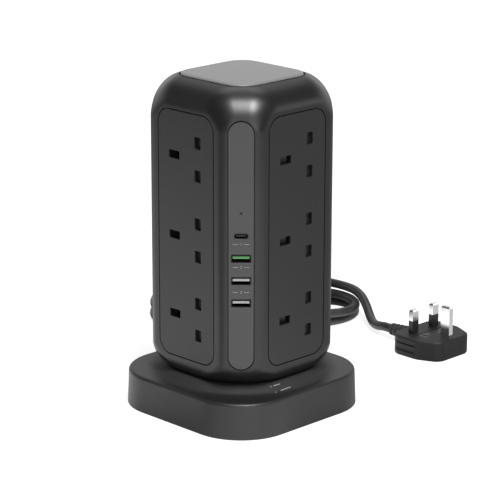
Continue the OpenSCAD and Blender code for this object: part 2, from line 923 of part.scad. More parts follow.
// The rocker, hollowed on top, that tilts on two short pins
module switch_rocker() {
    half = rocker_h / 2;
    color([0.5, 0.06, 0.05])
        on_side(3)
            translate([0, switch_y, -pivot_depth])
                rotate([rocker_tilt, 0, 0])
                    union() {
                        difference() {
                            rotate([quarter_turn, 0, quarter_turn])
                                translate([0, 0, -rocker_w / 2])
                                    linear_extrude(rocker_w)
                                        polygon([
                                            [-half, rocker_crown],
                                            [-half, 0],
                                            [-half / 3, -rocker_drop + pivot_depth],
                                            [half / 3, -rocker_drop + pivot_depth],
                                            [half, 0],
                                            [half, rocker_crown]
                                        ]);
                            translate([-rocker_w / 2 - bite, 0, rocker_crown + rocker_dish_r - rocker_dish])
                                rotate([0, quarter_turn, 0])
                                    cylinder(h = rocker_w + 2 * bite, r = rocker_dish_r, $fn = 96);
                        }
                        translate([-switch_body_w / 2 + play, 0, 0])
                            rotate([0, quarter_turn, 0])
                                cylinder(h = switch_body_w - 2 * play, r = pivot_r);
                    }
}

// The tabs at the back of the switch
module switch_blades() {
    color(brass_col)
        on_side(3)
            for (x = [-1, 1])
                deep_box(x * switch_body_w / 4, switch_y, blade_t, blade_w, switch_d, switch_d + blade_l);
}

// The plate that closes the underside of the tower
module tower_floor() {
    f = side_d - underside_inset - tower_wall - fit_gap;
    g = corner_d - corner_low_inset - tower_wall - fit_gap;
    r = low_edge_r - tower_wall - fit_gap;
    color(body_col)
        translate([0, 0, tower_z0])
            difference() {
                skin([tower_ring(f, g, r, 0), tower_ring(f, g, r, floor_t)]);
                translate([0, 0, -bite])
                    cylinder(h = floor_t + 2 * bite, r = neck_r + fit_gap);
                for (x = [-1, 1], y = [-1, 1])
                    translate([x * tower_screw_xy, y * tower_screw_xy, -bite])
                        cylinder(h = floor_t + 2 * bite, r = screw_r + fit_gap / 2);
            }
}

// Screws that hold the underside plate to the base
module tower_screws() {
    color(steel_col)
        for (x = [-1, 1], y = [-1, 1])
            translate([x * tower_screw_xy, y * tower_screw_xy, 0]) {
                translate([0, 0, tower_z0 + floor_t + fit_gap / 3])
                    cylinder(h = screw_head_h, r = screw_head_r);
                translate([0, 0, base_h - base_wall - bite])
                    cylinder(h = tower_z0 + floor_t + fit_gap - base_h + base_wall, r = screw_r);
            }
}

// The hollow neck that joins base and tower and leads the cores through
module neck_tube() {
    z1 = frame_z0 + neck_t;
    color(body_col)
        translate([0, 0, neck_low])
            difference() {
                union() {
                    cylinder(h = z1 - neck_low, r = neck_r);
                    translate([0, 0, frame_z0 - neck_low])
                        cylinder(h = neck_t, r = flange_r);
                }
                translate([0, 0, -bite])
                    cylinder(h = z1 - neck_low + 2 * bite, r = neck_r - neck_t);
            }
}

// Outline of the flare, from the flat top of the base up to its collar
flare_profile = [
    for (i = [0:flare_steps])
        let (t = i / flare_steps)
        [flare_r - (flare_r - flare_top_r) * t, base_h + flare_h * t * t * (3 - 2 * t)]
];

// The base housing: leaning sides, a small rounded edge, and a flare up to the tower
module base_housing() {
    half = base_w / 2;
    edge_z = base_h - base_edge_r;
    color(body_col)
        difference() {
            union() {
                difference() {
                    skin(concat(
                        [square_ring(half, base_r, base_z0)],
                        [for (i = [0:4])
                            let (
                                t = quarter_turn * i / 4,
                                pull = base_draft + base_edge_r * (1 - cos(t))
                            )
                            square_ring(half - pull, base_r - pull, edge_z + base_edge_r * sin(t))]
                    ));
                    skin([
                        square_ring(half - base_wall, base_r - base_wall, base_z0 - bite),
                        square_ring(half - base_draft - base_wall, base_top_r - base_wall,
                            base_h - base_wall)
                    ]);
                }
                rotate_extrude($fn = 96)
                    polygon(concat(
                        [[0, base_h - bite], [flare_r, base_h - bite]],
                        flare_profile,
                        [[0, base_h + flare_h]]
                    ));
                for (x = [-1, 1], y = [-1, 1])
                    translate([x * boss_xy, y * boss_xy, base_z0 + cover_t + fit_gap])
                        cylinder(h = base_h - base_wall - base_z0 - cover_t - fit_gap + bite, r = boss_r);
            }
            translate([0, 0, base_h - base_wall - bite])
                cylinder(h = flare_h + base_wall + 2 * bite, r = neck_r + fit_gap);
            for (x = [-1, 1], y = [-1, 1]) {
                translate([x * boss_xy, y * boss_xy, 0])
                    cylinder(h = base_h - base_wall, r = screw_r + fit_gap / 3);
                translate([x * tower_screw_xy, y * tower_screw_xy, base_h - base_wall - bite])
                    cylinder(h = flare_h + base_wall + 2 * bite, r = screw_r + fit_gap / 3);
            }
            for (x = lamp_x)
                translate([x, lamp_y, lamp_board_z])
                    cylinder(h = base_h, r = lamp_r + fit_gap / 3);
            translate([gland_x, side_y - base_wall - base_draft, gland_z])
                rotate([-quarter_turn, 0, 0])
                    cylinder(h = base_wall + 2 * base_draft, r = gland_r + fit_gap / 3);
        }
}

// The bottom cover, with pockets for the feet and screw heads
module base_cover() {
    half = base_w / 2 - base_wall - 1.5 * fit_gap;
    r = base_r - base_wall - 1.5 * fit_gap;
    color(body_col)
        difference() {
            skin([
                square_ring(half, r, base_z0),
                square_ring(half, r, base_z0 + cover_t)
            ]);
            for (x = [-1, 1], y = [-1, 1]) {
                translate([x * foot_xy, y * foot_xy, 0])
                    cylinder(h = base_z0 + foot_sink, r = foot_r + fit_gap);
                translate([x * boss_xy, y * boss_xy, 0]) {
                    cylinder(h = base_z0 + cover_t + bite, r = screw_r + fit_gap / 2);
                    cylinder(h = base_z0 + cover_t / 2, r = screw_head_r + fit_gap);
                }
            }
        }
}

// A steel plate that keeps the tower from tipping
module ballast_plate() {
    color(steel_col)
        translate([0, 0, base_z0 + cover_t + fit_gap])
            difference() {
                linear_extrude(ballast_t)
                    rounded_rect(ballast_w, ballast_w, ballast_corner_r);
                translate([0, 0, -bite])
                    cylinder(h = ballast_t + 2 * bite, r = neck_r);
            }
}

module rubber_feet() {
    color(rubber_col)
        for (x = [-1, 1], y = [-1, 1])
            translate([x * foot_xy, y * foot_xy, 0])
                cylinder(h = foot_t, r = foot_r);
}

// Screws that hold the bottom cover to the bosses of the housing
module base_screws() {
    color(steel_col)
        for (x = [-1, 1], y = [-1, 1])
            translate([x * boss_xy, y * boss_xy, base_z0 + cover_t / 2 - screw_head_h / 2]) {
                cylinder(h = screw_head_h / 2, r = screw_head_r);
                cylinder(h = base_h / 2, r = screw_r);
            }
}

// The little board under the two lamps in the top of the base
module lamp_board() {
    color(board_col)
        translate([(lamp_x[0] + lamp_x[1]) / 2 - lamp_board_w, lamp_y - lamp_board_l / 2, lamp_board_z])
            cube([2 * lamp_board_w, lamp_board_l, lamp_board_t]);
}

module base_lamps() {
    color([0.9, 0.95, 1])
        for (x = lamp_x)
            translate([x, lamp_y, lamp_board_z + lamp_board_t])
                cylinder(h = flare_height(norm([x, lamp_y])) - lamp_board_z - lamp_board_t, r = lamp_r);
}
// Height of the top of the base at distance d from the middle
function flare_height(d) =
    d > flare_r ? base_h
    : let (t = (flare_r - d) / (flare_r - flare_top_r)) base_h + flare_h * t * t * (3 - 2 * t);

// The strain relief that the lead leaves the base by
module cord_gland() {
    inside = base_wall + base_draft + gland_flange_t;
    color(rubber_col)
        translate([gland_x, side_y + gland_l, gland_z])
            rotate([quarter_turn, 0, 0])
                rotate_extrude()
                    polygon(concat(
                        [[0, 0], [gland_tip_r - rib_depth, 0]],
                        ribbed(gland_l - rib_start, gland_tip_r, gland_r, gland_ribs),
                        [
                            [gland_r, gland_l - rib_start],
                            [gland_r, gland_l + inside - gland_flange_t],
                            [gland_flange_r, gland_l + inside - gland_flange_t],
                            [gland_flange_r, gland_l + inside],
                            [0, gland_l + inside]
                        ]
                    ));
}

// Outline of a taper with square ribs, from radius r0 at height 0 to r1 at height l
function ribbed(l, r0, r1, n) = [
    for (i = [0:n - 1], k = [0:3])
        let (
            y = l * (i + (k < 2 ? 0.2 : 0.75)) / n,
            r = r0 + (r1 - r0) * y / l
        )
        [(k == 0 || k == 3) ? r - rib_depth : r, y]
];

// A point of the coil's own frame, on the floor
function at_coil(p) = [
    coil_x + p[0] * cos(coil_turn) - p[1] * sin(coil_turn),
    coil_y + p[0] * sin(coil_turn) + p[1] * cos(coil_turn),
    p[2]
];

// Centre line of the coil after t turns: inwards on the floor, then outwards one layer up
function coil_point(t) =
    let (
        turn = -quarter_turn - 4 * quarter_turn * t,
        s = t < coil_turns ? t : 2 * coil_turns - t,
        step = min(1, max(0, 2 * (t - coil_turns) + 0.5)),
        big = [coil_big_x, coil_big_r - loop_pitch * s],
        small = [coil_small_x - small_shift * s, coil_small_r],
        disc = big[0] * cos(turn) + big[1] > small[0] * cos(turn) + small[1] ? big : small
    )
    at_coil([
        disc[0] + disc[1] * cos(turn),
        disc[1] * sin(turn),
        cord_d / 2 + layer_pitch * step * step * (3 - 2 * step)
    ]);
coil_path = [for (i = [0:2 * coil_turns * coil_rings]) coil_point(i / coil_rings)];

// Route of the lead from the base to the coil
route_in = concat(
    [[gland_x, side_y + gland_l, gland_z], [gland_x, side_y + gland_l + cord_d, gland_z - 0.2]],
    [[-27, 108, 11], [-33.5, 117.5, 9.4], [-43, 124, 7.2], [-54, 126, 5.2],
        [-65.5, 124, 3.9], [-75, 117.5, 3.4], [-88, 104.6, 3.4]],
    [coil_path[0] + cord_d * [cos(coil_turn), sin(coil_turn), 0], coil_path[0]]
);

// Route of the lead from the top of the coil, over it and down to the plug
boot_end = [plug_x - boot_l, plug_y, cord_z];
route_out = concat(
    [coil_path[len(coil_path) - 1],
        coil_path[len(coil_path) - 1] + cord_d * [cos(coil_turn), sin(coil_turn), 0]],
    [[-167, 178.5, 11.6], [-150, 188.5, 13.6], [-132, 195.5, 16], [-113, 200, 18],
        [-99, 201.6, 18.5], [-85, 201, 18.6], [-75.5, 198.8, 18], [-67, 195.6, 15.9],
        [-58.5, 191, 12.2], [-50.5, 185.7, 8.6], [-43, 180.4, 6.5], [-37, 176.8, 6.1],
        [-30.5, 174.1, 6.9]],
    [boot_end - [cord_d, 0, 0], boot_end]
);

// Sweeps a tube of diameter d and n sides along points p
module tube(p, d, n) {
    last = len(p) - 1;
    skin([
        for (i = [0:last])
            let (
                ahead = p[min(i + 1, last)] - p[max(i - 1, 0)],
                along = ahead / norm(ahead),
                flat = cross(along, [0, 0, 1]),
                side = flat / norm(flat),
                lift = cross(side, along)
            )
            [for (k = [0:n - 1])
                let (a = 4 * quarter_turn * (k + 0.5) / n)
                p[i] + (cos(a) * side + sin(a) * lift) * d / 2]
    ]);
}

module cord_lead_in() { color(cord_col) tube(route_in, cord_d, cord_sides); }
module cord_lead_out() { color(cord_col) tube(route_out, cord_d, cord_sides); }
module cord_coil() { color(cord_col) tube(coil_path, cord_d, coil_sides); }

// Length of a path, and the least gap between loops of the coil
function path_length(p) = [for (i = [1:len(p) - 1]) norm(p[i] - p[i - 1])] * [for (i = [1:len(p) - 1]) 1];
function coil_gap(p) =
    min([for (i = [0:len(p) - 1], j = [i + coil_rings / 2:1:len(p) - 1]) norm(p[i] - p[j])]) - cord_d;
echo(lead_length = path_length(route_in) + path_length(coil_path) + path_length(route_out));
echo(least_coil_gap = coil_gap(coil_path));

// The ribbed strain relief on the plug
module plug_boot() {
    color(rubber_col)
        translate([plug_x - boot_l, plug_y, cord_z])
            rotate([0, quarter_turn, 0])
                rotate_extrude()
                    polygon(concat(
                        [[0, 0], [boot_tip_r - rib_depth, 0]],
                        ribbed(boot_l - rib_start, boot_tip_r, boot_r, boot_ribs),
                        [[boot_r, boot_l - rib_start], [boot_r, boot_l], [0, boot_l]]
                    ));
}

// Outline of the plug at one height, drawn in by t: broad by the live pins and narrower by the earth pin
module plug_outline(t) {
    r = plug_edge_r;
    nose = plug_w * plug_nose_share / 2;
    hull() {
        for (s = [-1, 1]) {
            translate([plug_x + r, plug_y + s * (plug_w / 2 - r)])
                circle(r - t);
            translate([plug_x + plug_l * plug_shoulder_share, plug_y + s * (plug_w / 2 - r)])
                circle(r - t);
            translate([plug_x + plug_l - r, plug_y + s * (nose - r)])
                circle(r - t);
        }
    }
}

// The moulded body of the plug, lying on its back, with grip grooves on both sides
module plug_body() {
    color(rubber_col)
        difference() {
            hull() {
                linear_extrude(plug_t - plug_edge) plug_outline(plug_edge);
                translate([0, 0, plug_edge])
                    linear_extrude(plug_t - 3 * plug_edge) plug_outline(0);
                linear_extrude(plug_t) plug_outline(plug_edge);
            }
            for (s = [-1, 1], z = [0.38, 0.62])
                translate([plug_x + plug_l * 0.36, plug_y + s * plug_w / 2, plug_t * z])
                    cube([grip_l, 2 * grip_d, grip_h], center = true);
            translate([fuse_x - carrier_box_w / 2, plug_y - carrier_box_l / 2, plug_t - carrier_box_d])
                cube([carrier_box_w, carrier_box_l, carrier_box_d + bite]);
            for (y = [-live_y, live_y])
                translate([live_pin_x, plug_y + y, plug_t])
                    cube([live_pin_t - pin_core + fit_gap, live_pin_w - pin_core + fit_gap, 2 * pin_root],
                        center = true);
            translate([earth_pin_x, plug_y, plug_t])
                cube([earth_pin_w + fit_gap, earth_pin_t + fit_gap, 2 * pin_root], center = true);
        }
}

// A flat pin with a bevelled tip, standing on z0
module pin(x, y, w, h, z0, l) {
    translate([x, y, z0])
        hull() {
            translate([-w / 2, -h / 2, 0])
                cube([w, h, l - pin_tip]);
            translate([-w / 2 + pin_tip / 2, -h / 2 + pin_tip / 2, 0])
                cube([w - pin_tip, h - pin_tip, l]);
        }
}

// Three brass pins; line and neutral are thinner inside their sleeves
module plug_pins() {
    color(steel_col) {
        for (y = [-live_y, live_y]) {
            pin(live_pin_x, plug_y + y, live_pin_t, live_pin_w, plug_t + sleeve_l, live_pin_l - sleeve_l);
            translate([live_pin_x, plug_y + y, plug_t - pin_root + fit_gap])
                translate([pin_core / 2 - live_pin_t / 2, pin_core / 2 - live_pin_w / 2, 0])
                    cube([live_pin_t - pin_core, live_pin_w - pin_core, pin_root + sleeve_l]);
        }
        pin(earth_pin_x, plug_y, earth_pin_w, earth_pin_t, plug_t - pin_root + fit_gap,
            earth_pin_l + pin_root - fit_gap);
    }
}

// The insulating sleeves round the roots of the line and neutral pins
module pin_sleeves() {
    color(shutter_col)
        for (y = [-live_y, live_y])
            translate([live_pin_x, plug_y + y, plug_t + sleeve_l / 2])
                difference() {
                    cube([live_pin_t, live_pin_w, sleeve_l - fit_gap / 3], center = true);
                    cube([live_pin_t - pin_core + bite, live_pin_w - pin_core + bite, 2 * sleeve_l],
                        center = true);
                }
}

// The pull-out carrier between the pins, with its fuse
module fuse_carrier() {
    color([0.2, 0.2, 0.2])
        translate([fuse_x, plug_y, plug_t - carrier_box_d / 2])
            difference() {
                cube([carrier_box_w - 2 * fit_gap, carrier_box_l - 2 * fit_gap, carrier_box_d - 2 * fit_gap / 3],
                    center = true);
                translate([0, 0, -carrier_box_d / 2])
                    rotate([quarter_turn, 0, 0])
                        cylinder(h = fuse_l, r = fuse_r, center = true);
            }
}

tower_shell();
top_cap();
face_plate_front();
face_plate_right();
face_plate_back();
face_plate_left();
carrier_front();
carrier_right();
carrier_back();
carrier_left();
shutter_front_low();
shutter_front_mid();
shutter_front_top();
shutter_right_low();
shutter_right_mid();
shutter_right_top();
shutter_back_low();
shutter_back_mid();
shutter_back_top();
shutter_left_mid();
shutter_left_top();
shutter_springs();
earth_contacts();
line_contacts();
neutral_contacts();
centre_frame();
surge_board();
surge_discs();
terminal_block();
charging_strip();
usb_board();
usb_c_port();
usb_c_tongue();
usb_a_ports();
usb_tongue_green();
usb_tongues_pale();
status_lamp();
switch_housing();
switch_rocker();
switch_blades();
tower_floor();
tower_screws();
neck_tube();
base_housing();
base_cover();
ballast_plate();
rubber_feet();
base_screws();
lamp_board();
base_lamps();
inner_leads();
cord_gland();
cord_lead_in();
cord_coil();
cord_lead_out();
plug_boot();
plug_body();
plug_pins();
pin_sleeves();
fuse_carrier();
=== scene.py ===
import math
import bmesh
import bpy
import numpy as np
from mathutils import Matrix, Vector


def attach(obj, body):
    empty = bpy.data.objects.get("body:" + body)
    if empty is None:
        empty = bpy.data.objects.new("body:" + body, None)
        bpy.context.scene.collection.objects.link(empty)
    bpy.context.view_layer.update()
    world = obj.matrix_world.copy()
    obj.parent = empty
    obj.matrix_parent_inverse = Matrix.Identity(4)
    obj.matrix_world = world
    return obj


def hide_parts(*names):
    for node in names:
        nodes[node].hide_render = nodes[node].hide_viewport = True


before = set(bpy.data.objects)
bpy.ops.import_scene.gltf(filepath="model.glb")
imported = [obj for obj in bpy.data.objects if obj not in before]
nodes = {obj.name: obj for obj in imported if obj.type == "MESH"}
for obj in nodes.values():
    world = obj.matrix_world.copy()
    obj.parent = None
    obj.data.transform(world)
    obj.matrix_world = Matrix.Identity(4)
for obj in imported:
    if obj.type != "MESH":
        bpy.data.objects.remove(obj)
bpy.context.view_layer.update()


# Camera
# It stands where the photograph was taken from: level with the corner between
# the front and right sides and a little above the object, with a long lens.

AZIMUTH = math.radians(45.274)
PITCH = math.radians(16.287)
ROLL = math.radians(0.116)
DISTANCE = 1.53067
LENS, SENSOR, FAR = 162.88, 36, 50
AIM_HEIGHT, AIM_SIDE = 0.107852, 0.005484

back = Vector((math.sin(AZIMUTH) * math.cos(PITCH), -math.cos(AZIMUTH) * math.cos(PITCH), math.sin(PITCH)))
level = Vector((math.cos(AZIMUTH), math.sin(AZIMUTH), 0))
upright = back.cross(level)
right = level * math.cos(ROLL) + upright * math.sin(ROLL)
up = upright * math.cos(ROLL) - level * math.sin(ROLL)
eye = Vector((0, 0, AIM_HEIGHT)) + level * AIM_SIDE + back * DISTANCE
camera = bpy.data.objects.new("camera", bpy.data.cameras.new("camera"))
camera.data.lens = LENS
camera.data.sensor_width = SENSOR
camera.data.clip_end = FAR
camera.matrix_world = Matrix(((right.x, up.x, back.x, eye.x), (right.y, up.y, back.y, eye.y),
                              (right.z, up.z, back.z, eye.z), (0, 0, 0, 1)))
bpy.context.scene.collection.objects.link(camera)
bpy.context.scene.camera = camera
bpy.context.scene.view_settings.view_transform = "Standard"


# Mains lead
# One round lead in black plastic, 6.8 mm across, drawn along a path from the back of
# the base through a coil in two layers to the plug. The path repeats the CAD's points.

class Wire:
    """A shader socket that is added, subtracted and multiplied like a number."""

    def __init__(self, tree, socket=None):
        self.tree = tree
        self.socket = socket

    def node(self, kind, *inputs, out=0, **settings):
        """A new node: its settings come first, then its inputs, in order or by name."""
        made = self.tree.nodes.new(kind)
        for key, value in settings.items():
            setattr(made, key, value)
        for place, value in enumerate(inputs):
            if isinstance(value, tuple) and isinstance(value[0], str):
                place, value = value
            if isinstance(value, Wire):
                self.tree.links.new(value.socket, made.inputs[place])
            elif value is not None:
                made.inputs[place].default_value = value
        return Wire(self.tree, made.outputs[out])

    def __add__(self, other):
        return self.node("ShaderNodeMath", self, other, operation="ADD")

    def __sub__(self, other):
        return self.node("ShaderNodeMath", self, other, operation="SUBTRACT")

    def __rsub__(self, other):
        return self.node("ShaderNodeMath", other, self, operation="SUBTRACT")

    def __mul__(self, other):
        return self.node("ShaderNodeMath", self, other, operation="MULTIPLY")

    __radd__ = __add__
    __rmul__ = __mul__

    def step(self, low, high):
        """0 below low, 1 above high, and smooth between."""
        return self.node("ShaderNodeMapRange", self, low, high, 0.0, 1.0, interpolation_type="SMOOTHSTEP")

    def mix(self, first, second):
        """The first colour where this is 0, and the second where it is 1."""
        colours = [colour if isinstance(colour, Wire) else (*colour, 1) for colour in (first, second)]
        not_colours = [None] * 5
        return self.node("ShaderNodeMix", self, *not_colours, *colours, out=2, data_type="RGBA")

    def noise(self, scale, detail=2.0, stretch=(1, 1, 1)):
        """Noise over the piece, with its scale in bumps per metre."""
        place = self.node("ShaderNodeMapping", self, ("Scale", stretch))
        return place.node("ShaderNodeTexNoise", place, None, scale, detail)


def material(name, colour, roughness, metallic=0.0, coat=0.0, specular=0.5):
    """A new material and its first wire, the position on the piece in metres."""
    made = bpy.data.materials.new(name)
    made.use_nodes = True
    shader = made.node_tree.nodes["Principled BSDF"]
    shader.inputs["Base Color"].default_value = (*colour, 1)
    shader.inputs["Roughness"].default_value = roughness
    shader.inputs["Metallic"].default_value = metallic
    shader.inputs["Coat Weight"].default_value = coat
    shader.inputs["Specular IOR Level"].default_value = specular
    made.diffuse_color = (*colour, 1)
    return made, Wire(made.node_tree).node("ShaderNodeTexCoord", out="Object")


def feed(made, **channels):
    """Connects wires to the shader's sockets, such as Base_Color or Roughness."""
    shader = made.node_tree.nodes["Principled BSDF"]
    for key, wire in channels.items():
        made.node_tree.links.new(wire.socket, shader.inputs[key.replace("_", " ")])


def bump(height, strength, depth):
    """A normal from a height pattern that is so many metres deep."""
    return height.node("ShaderNodeBump", strength, depth, ("Height", height))


def new_piece(name, mesh, made=None, smooth=35):
    """A piece from a mesh, smooth except where faces meet at more than so many degrees."""
    piece = bpy.data.objects.new(name, mesh)
    bpy.context.scene.collection.objects.link(piece)
    if made:
        mesh.materials.clear()
        mesh.materials.append(made)
    if smooth:
        mesh.polygons.foreach_set("use_smooth", [True] * len(mesh.polygons))
        mesh.set_sharp_from_angle(angle=math.radians(smooth))
    return piece


def smooth_path(points, per=6):
    """A curve through every point, with even bends between them."""
    points = [np.array(p, float) for p in points]
    path = []
    for i in range(len(points) - 1):
        a, b = points[max(i - 1, 0)], points[i]
        c, d = points[i + 1], points[min(i + 2, len(points) - 1)]
        span = np.linalg.norm(c - b)
        into = (c - a) / max(np.linalg.norm(b - a) + span, 1e-9) * span
        out = (d - b) / max(np.linalg.norm(d - c) + span, 1e-9) * span
        for k in range(per):
            t = k / per
            path.append((2 * t**3 - 3 * t**2 + 1) * b + (t**3 - 2 * t**2 + t) * into
                        + (3 * t**2 - 2 * t**3) * c + (t**3 - t**2) * out)
    return path + [points[-1]]


MM = 0.001
CORD_D = 6.8
LOOP_PITCH, LAYER_PITCH = 7.5, 7.4
COIL_AT = (-135, 134)
COIL_TURN = math.radians(45)
BIG_X, BIG_R = -16, 54
SMALL_X, SMALL_R = 78.4, 28
COIL_TURNS, COIL_RINGS = 2.75, 72
SMALL_SHIFT = LOOP_PITCH * (SMALL_X - BIG_X) / (BIG_R - SMALL_R)


def coil_point(t):
    """A point of the coil after t turns: inwards on the floor, then outwards one layer up."""
    turn = math.radians(-90 - 360 * t)
    s = t if t < COIL_TURNS else 2 * COIL_TURNS - t
    lift = min(1, max(0, 2 * (t - COIL_TURNS) + 0.5))
    big = (BIG_X, BIG_R - LOOP_PITCH * s)
    small = (SMALL_X - SMALL_SHIFT * s, SMALL_R)
    disc = max(big, small, key=lambda d: d[0] * math.cos(turn) + d[1])
    x = disc[0] + disc[1] * math.cos(turn)
    y = disc[1] * math.sin(turn)
    return np.array((COIL_AT[0] + x * math.cos(COIL_TURN) - y * math.sin(COIL_TURN),
                     COIL_AT[1] + x * math.sin(COIL_TURN) + y * math.cos(COIL_TURN),
                     CORD_D / 2 + LAYER_PITCH * lift * lift * (3 - 2 * lift)))


GLAND_X, GLAND_Z, GLAND_L = -25, 12, 24
BASE_SIDE = 66.025
PLUG_X, PLUG_Y = 3, 173
BOOT_L, LEAD_Z = 20, 8
coil = [coil_point(i / COIL_RINGS) for i in range(int(2 * COIL_TURNS * COIL_RINGS) + 1)]
coil_way = np.array((math.cos(COIL_TURN), math.sin(COIL_TURN), 0)) * CORD_D
gland_end = (GLAND_X, BASE_SIDE + GLAND_L, GLAND_Z)
boot_end = (PLUG_X - BOOT_L, PLUG_Y, LEAD_Z)
lead_in = [gland_end, (GLAND_X, BASE_SIDE + GLAND_L + CORD_D, GLAND_Z - 0.2),
           (-27, 108, 11), (-33.5, 117.5, 9.4), (-43, 124, 7.2), (-54, 126, 5.2),
           (-65.5, 124, 3.9), (-75, 117.5, 3.4), (-88, 104.6, 3.4),
           coil[0] + coil_way, coil[0]]
lead_out = [coil[-1], coil[-1] + coil_way,
            (-167, 178.5, 11.6), (-150, 188.5, 13.6), (-132, 195.5, 16), (-113, 200, 18),
            (-99, 201.6, 18.5), (-85, 201, 18.6), (-75.5, 198.8, 18), (-67, 195.6, 15.9),
            (-58.5, 191, 12.2), (-50.5, 185.7, 8.6), (-43, 180.4, 6.5), (-37, 176.8, 6.1),
            (-30.5, 174.1, 6.9), (boot_end[0] - CORD_D, PLUG_Y, LEAD_Z), boot_end]
route = smooth_path(lead_in)[:-1] + coil[:-1] + smooth_path(lead_out)

cord_black, place = material("cord_black", (0.02, 0.02, 0.021), 0.5, specular=0.45)
skin_grain = place.noise(1800.0, 2.0)
handled = place.noise(45.0, 3.0)
rubbed = (handled * 0.7 + skin_grain * 0.3).step(0.35, 0.65)
feed(cord_black,
     Base_Color=rubbed.mix((0.016, 0.016, 0.017), (0.028, 0.028, 0.029)),
     Roughness=handled * 0.14 + 0.3,
     Normal=bump(skin_grain, 0.3, 0.00003))

lead_curve = bpy.data.curves.new("mains_lead", "CURVE")
lead_curve.dimensions = "3D"
lead_curve.bevel_depth = CORD_D / 2 * MM
lead_curve.bevel_resolution = 6
lead_curve.use_fill_caps = True
spline = lead_curve.splines.new("POLY")
spline.points.add(len(route) - 1)
for point, at in zip(spline.points, route):
    point.co = (*(np.array(at) * MM), 1)
lead_curve.materials.append(cord_black)
lead = bpy.data.objects.new("mains_lead", lead_curve)
bpy.context.scene.collection.objects.link(lead)
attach(lead, "base")
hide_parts("cord_lead_in", "cord_coil", "cord_lead_out")


# Strain reliefs
# Tapered sleeves of soft black rubber with raised ribs, moulded onto the lead: one
# where it leaves the base, with a flange inside the wall, and one at the plug.

def moulded(name, colour, roughness, grain=2400.0, relief=0.00002, spread=0.12, specular=0.5, rougher=None):
    """Moulded plastic: a fine spark-eroded grain, with faint clouds of shade and gloss.

    The grain is in bumps per metre and the relief in metres; rougher is a function of the place.
    """
    made, place = material(name, colour, roughness, specular=specular)
    fine = place.noise(grain, 3.0)
    cloud = place.noise(22.0, 3.0)
    streak = place.noise(60.0, 2.0, (1, 1, 0.25))
    pale = tuple(c * (1 + spread) for c in colour)
    deep = tuple(c * (1 - spread) for c in colour)
    gloss = cloud * 0.05 + fine * 0.06 + (roughness - 0.055)
    feed(made,
         Base_Color=(cloud * 0.6 + streak * 0.25 + fine * 0.15).step(0.3, 0.7).mix(deep, pale),
         Roughness=gloss + rougher(place) if rougher else gloss,
         Normal=bump(fine, 0.35, relief))
    return made


def mesh_from(name, points, faces):
    """A mesh from points in millimetres."""
    mesh = bpy.data.meshes.new(name)
    mesh.from_pydata([tuple(c * MM for c in p) for p in points], [], faces)
    mesh.update()
    return mesh


def mend(mesh, weld=0.0):
    """Joins points that are closer than the weld, in metres, and turns all faces outwards."""
    bm = bmesh.new()
    bm.from_mesh(mesh)
    if weld:
        bmesh.ops.remove_doubles(bm, verts=bm.verts, dist=weld)
    bmesh.ops.recalc_face_normals(bm, faces=bm.faces)
    bm.to_mesh(mesh)
    bm.free()


def lathe(name, profile, matrix, made, steps=64):
    """Turns a profile of (radius, height) about Z, and puts it in place by the matrix."""
    points, faces = [], []
    for r, h in profile:
        for k in range(steps):
            a = 2 * math.pi * k / steps
            points.append(tuple(matrix @ Vector((r * math.cos(a), r * math.sin(a), h))))
    for j in range(len(profile) - 1):
        for k in range(steps):
            n = (k + 1) % steps
            faces.append((j * steps + k, j * steps + n, (j + 1) * steps + n, (j + 1) * steps + k))
    faces.append(tuple(reversed(range(steps))))
    faces.append(tuple(range(len(points) - steps, len(points))))
    mesh = mesh_from(name, points, faces)
    mend(mesh, 1e-7)
    return new_piece(name, mesh, made)


def ribs(length, r0, r1, count, depth, soft=0.35):
    """Profile of a taper with rounded ribs, from radius r0 at height 0 to r1 at its end."""
    profile = []
    for i in range(count):
        rise = [length * (i + share) / count for share in (0.2, 0.75)]
        for h, way in zip(rise, (1, -1)):
            r = r0 + (r1 - r0) * h / length
            side = [(r - depth, h - way * soft * 0.3), (r - depth * 0.8, h),
                    (r - soft * 0.5, h + way * soft * 0.1), (r, h + way * soft)]
            profile += side[::way]
    return profile


GLAND_R, GLAND_TIP_R, GLAND_TIP_EDGE, GLAND_RIBS = 5.6, 4.6, 0.4, 5
BOOT_R, BOOT_TIP_R, BOOT_TIP_EDGE, BOOT_RIBS = 5.6, 4.4, 0.3, 4
RIB_DEPTH, RIB_START = 0.9, 4
TIP_ROUND, COLLAR_EDGE, CENTRE_R = 0.4, 0.3, 0.01
GLAND_INSIDE, FLANGE_R, FLANGE_T = 5.45, 8, 2
STAND = Matrix.Rotation(math.radians(90), 4, "X")


def sleeve(length, r, tip_r, tip_edge, count):
    """Profile of a ribbed sleeve, from its tip at height 0 to the start of its collar."""
    start = length - RIB_START
    return ([(CENTRE_R, 0), (tip_r - RIB_DEPTH - tip_edge, 0), (tip_r - RIB_DEPTH, TIP_ROUND)]
            + ribs(start, tip_r, r, count, RIB_DEPTH)
            + [(r - COLLAR_EDGE, start), (r, start + COLLAR_EDGE)])


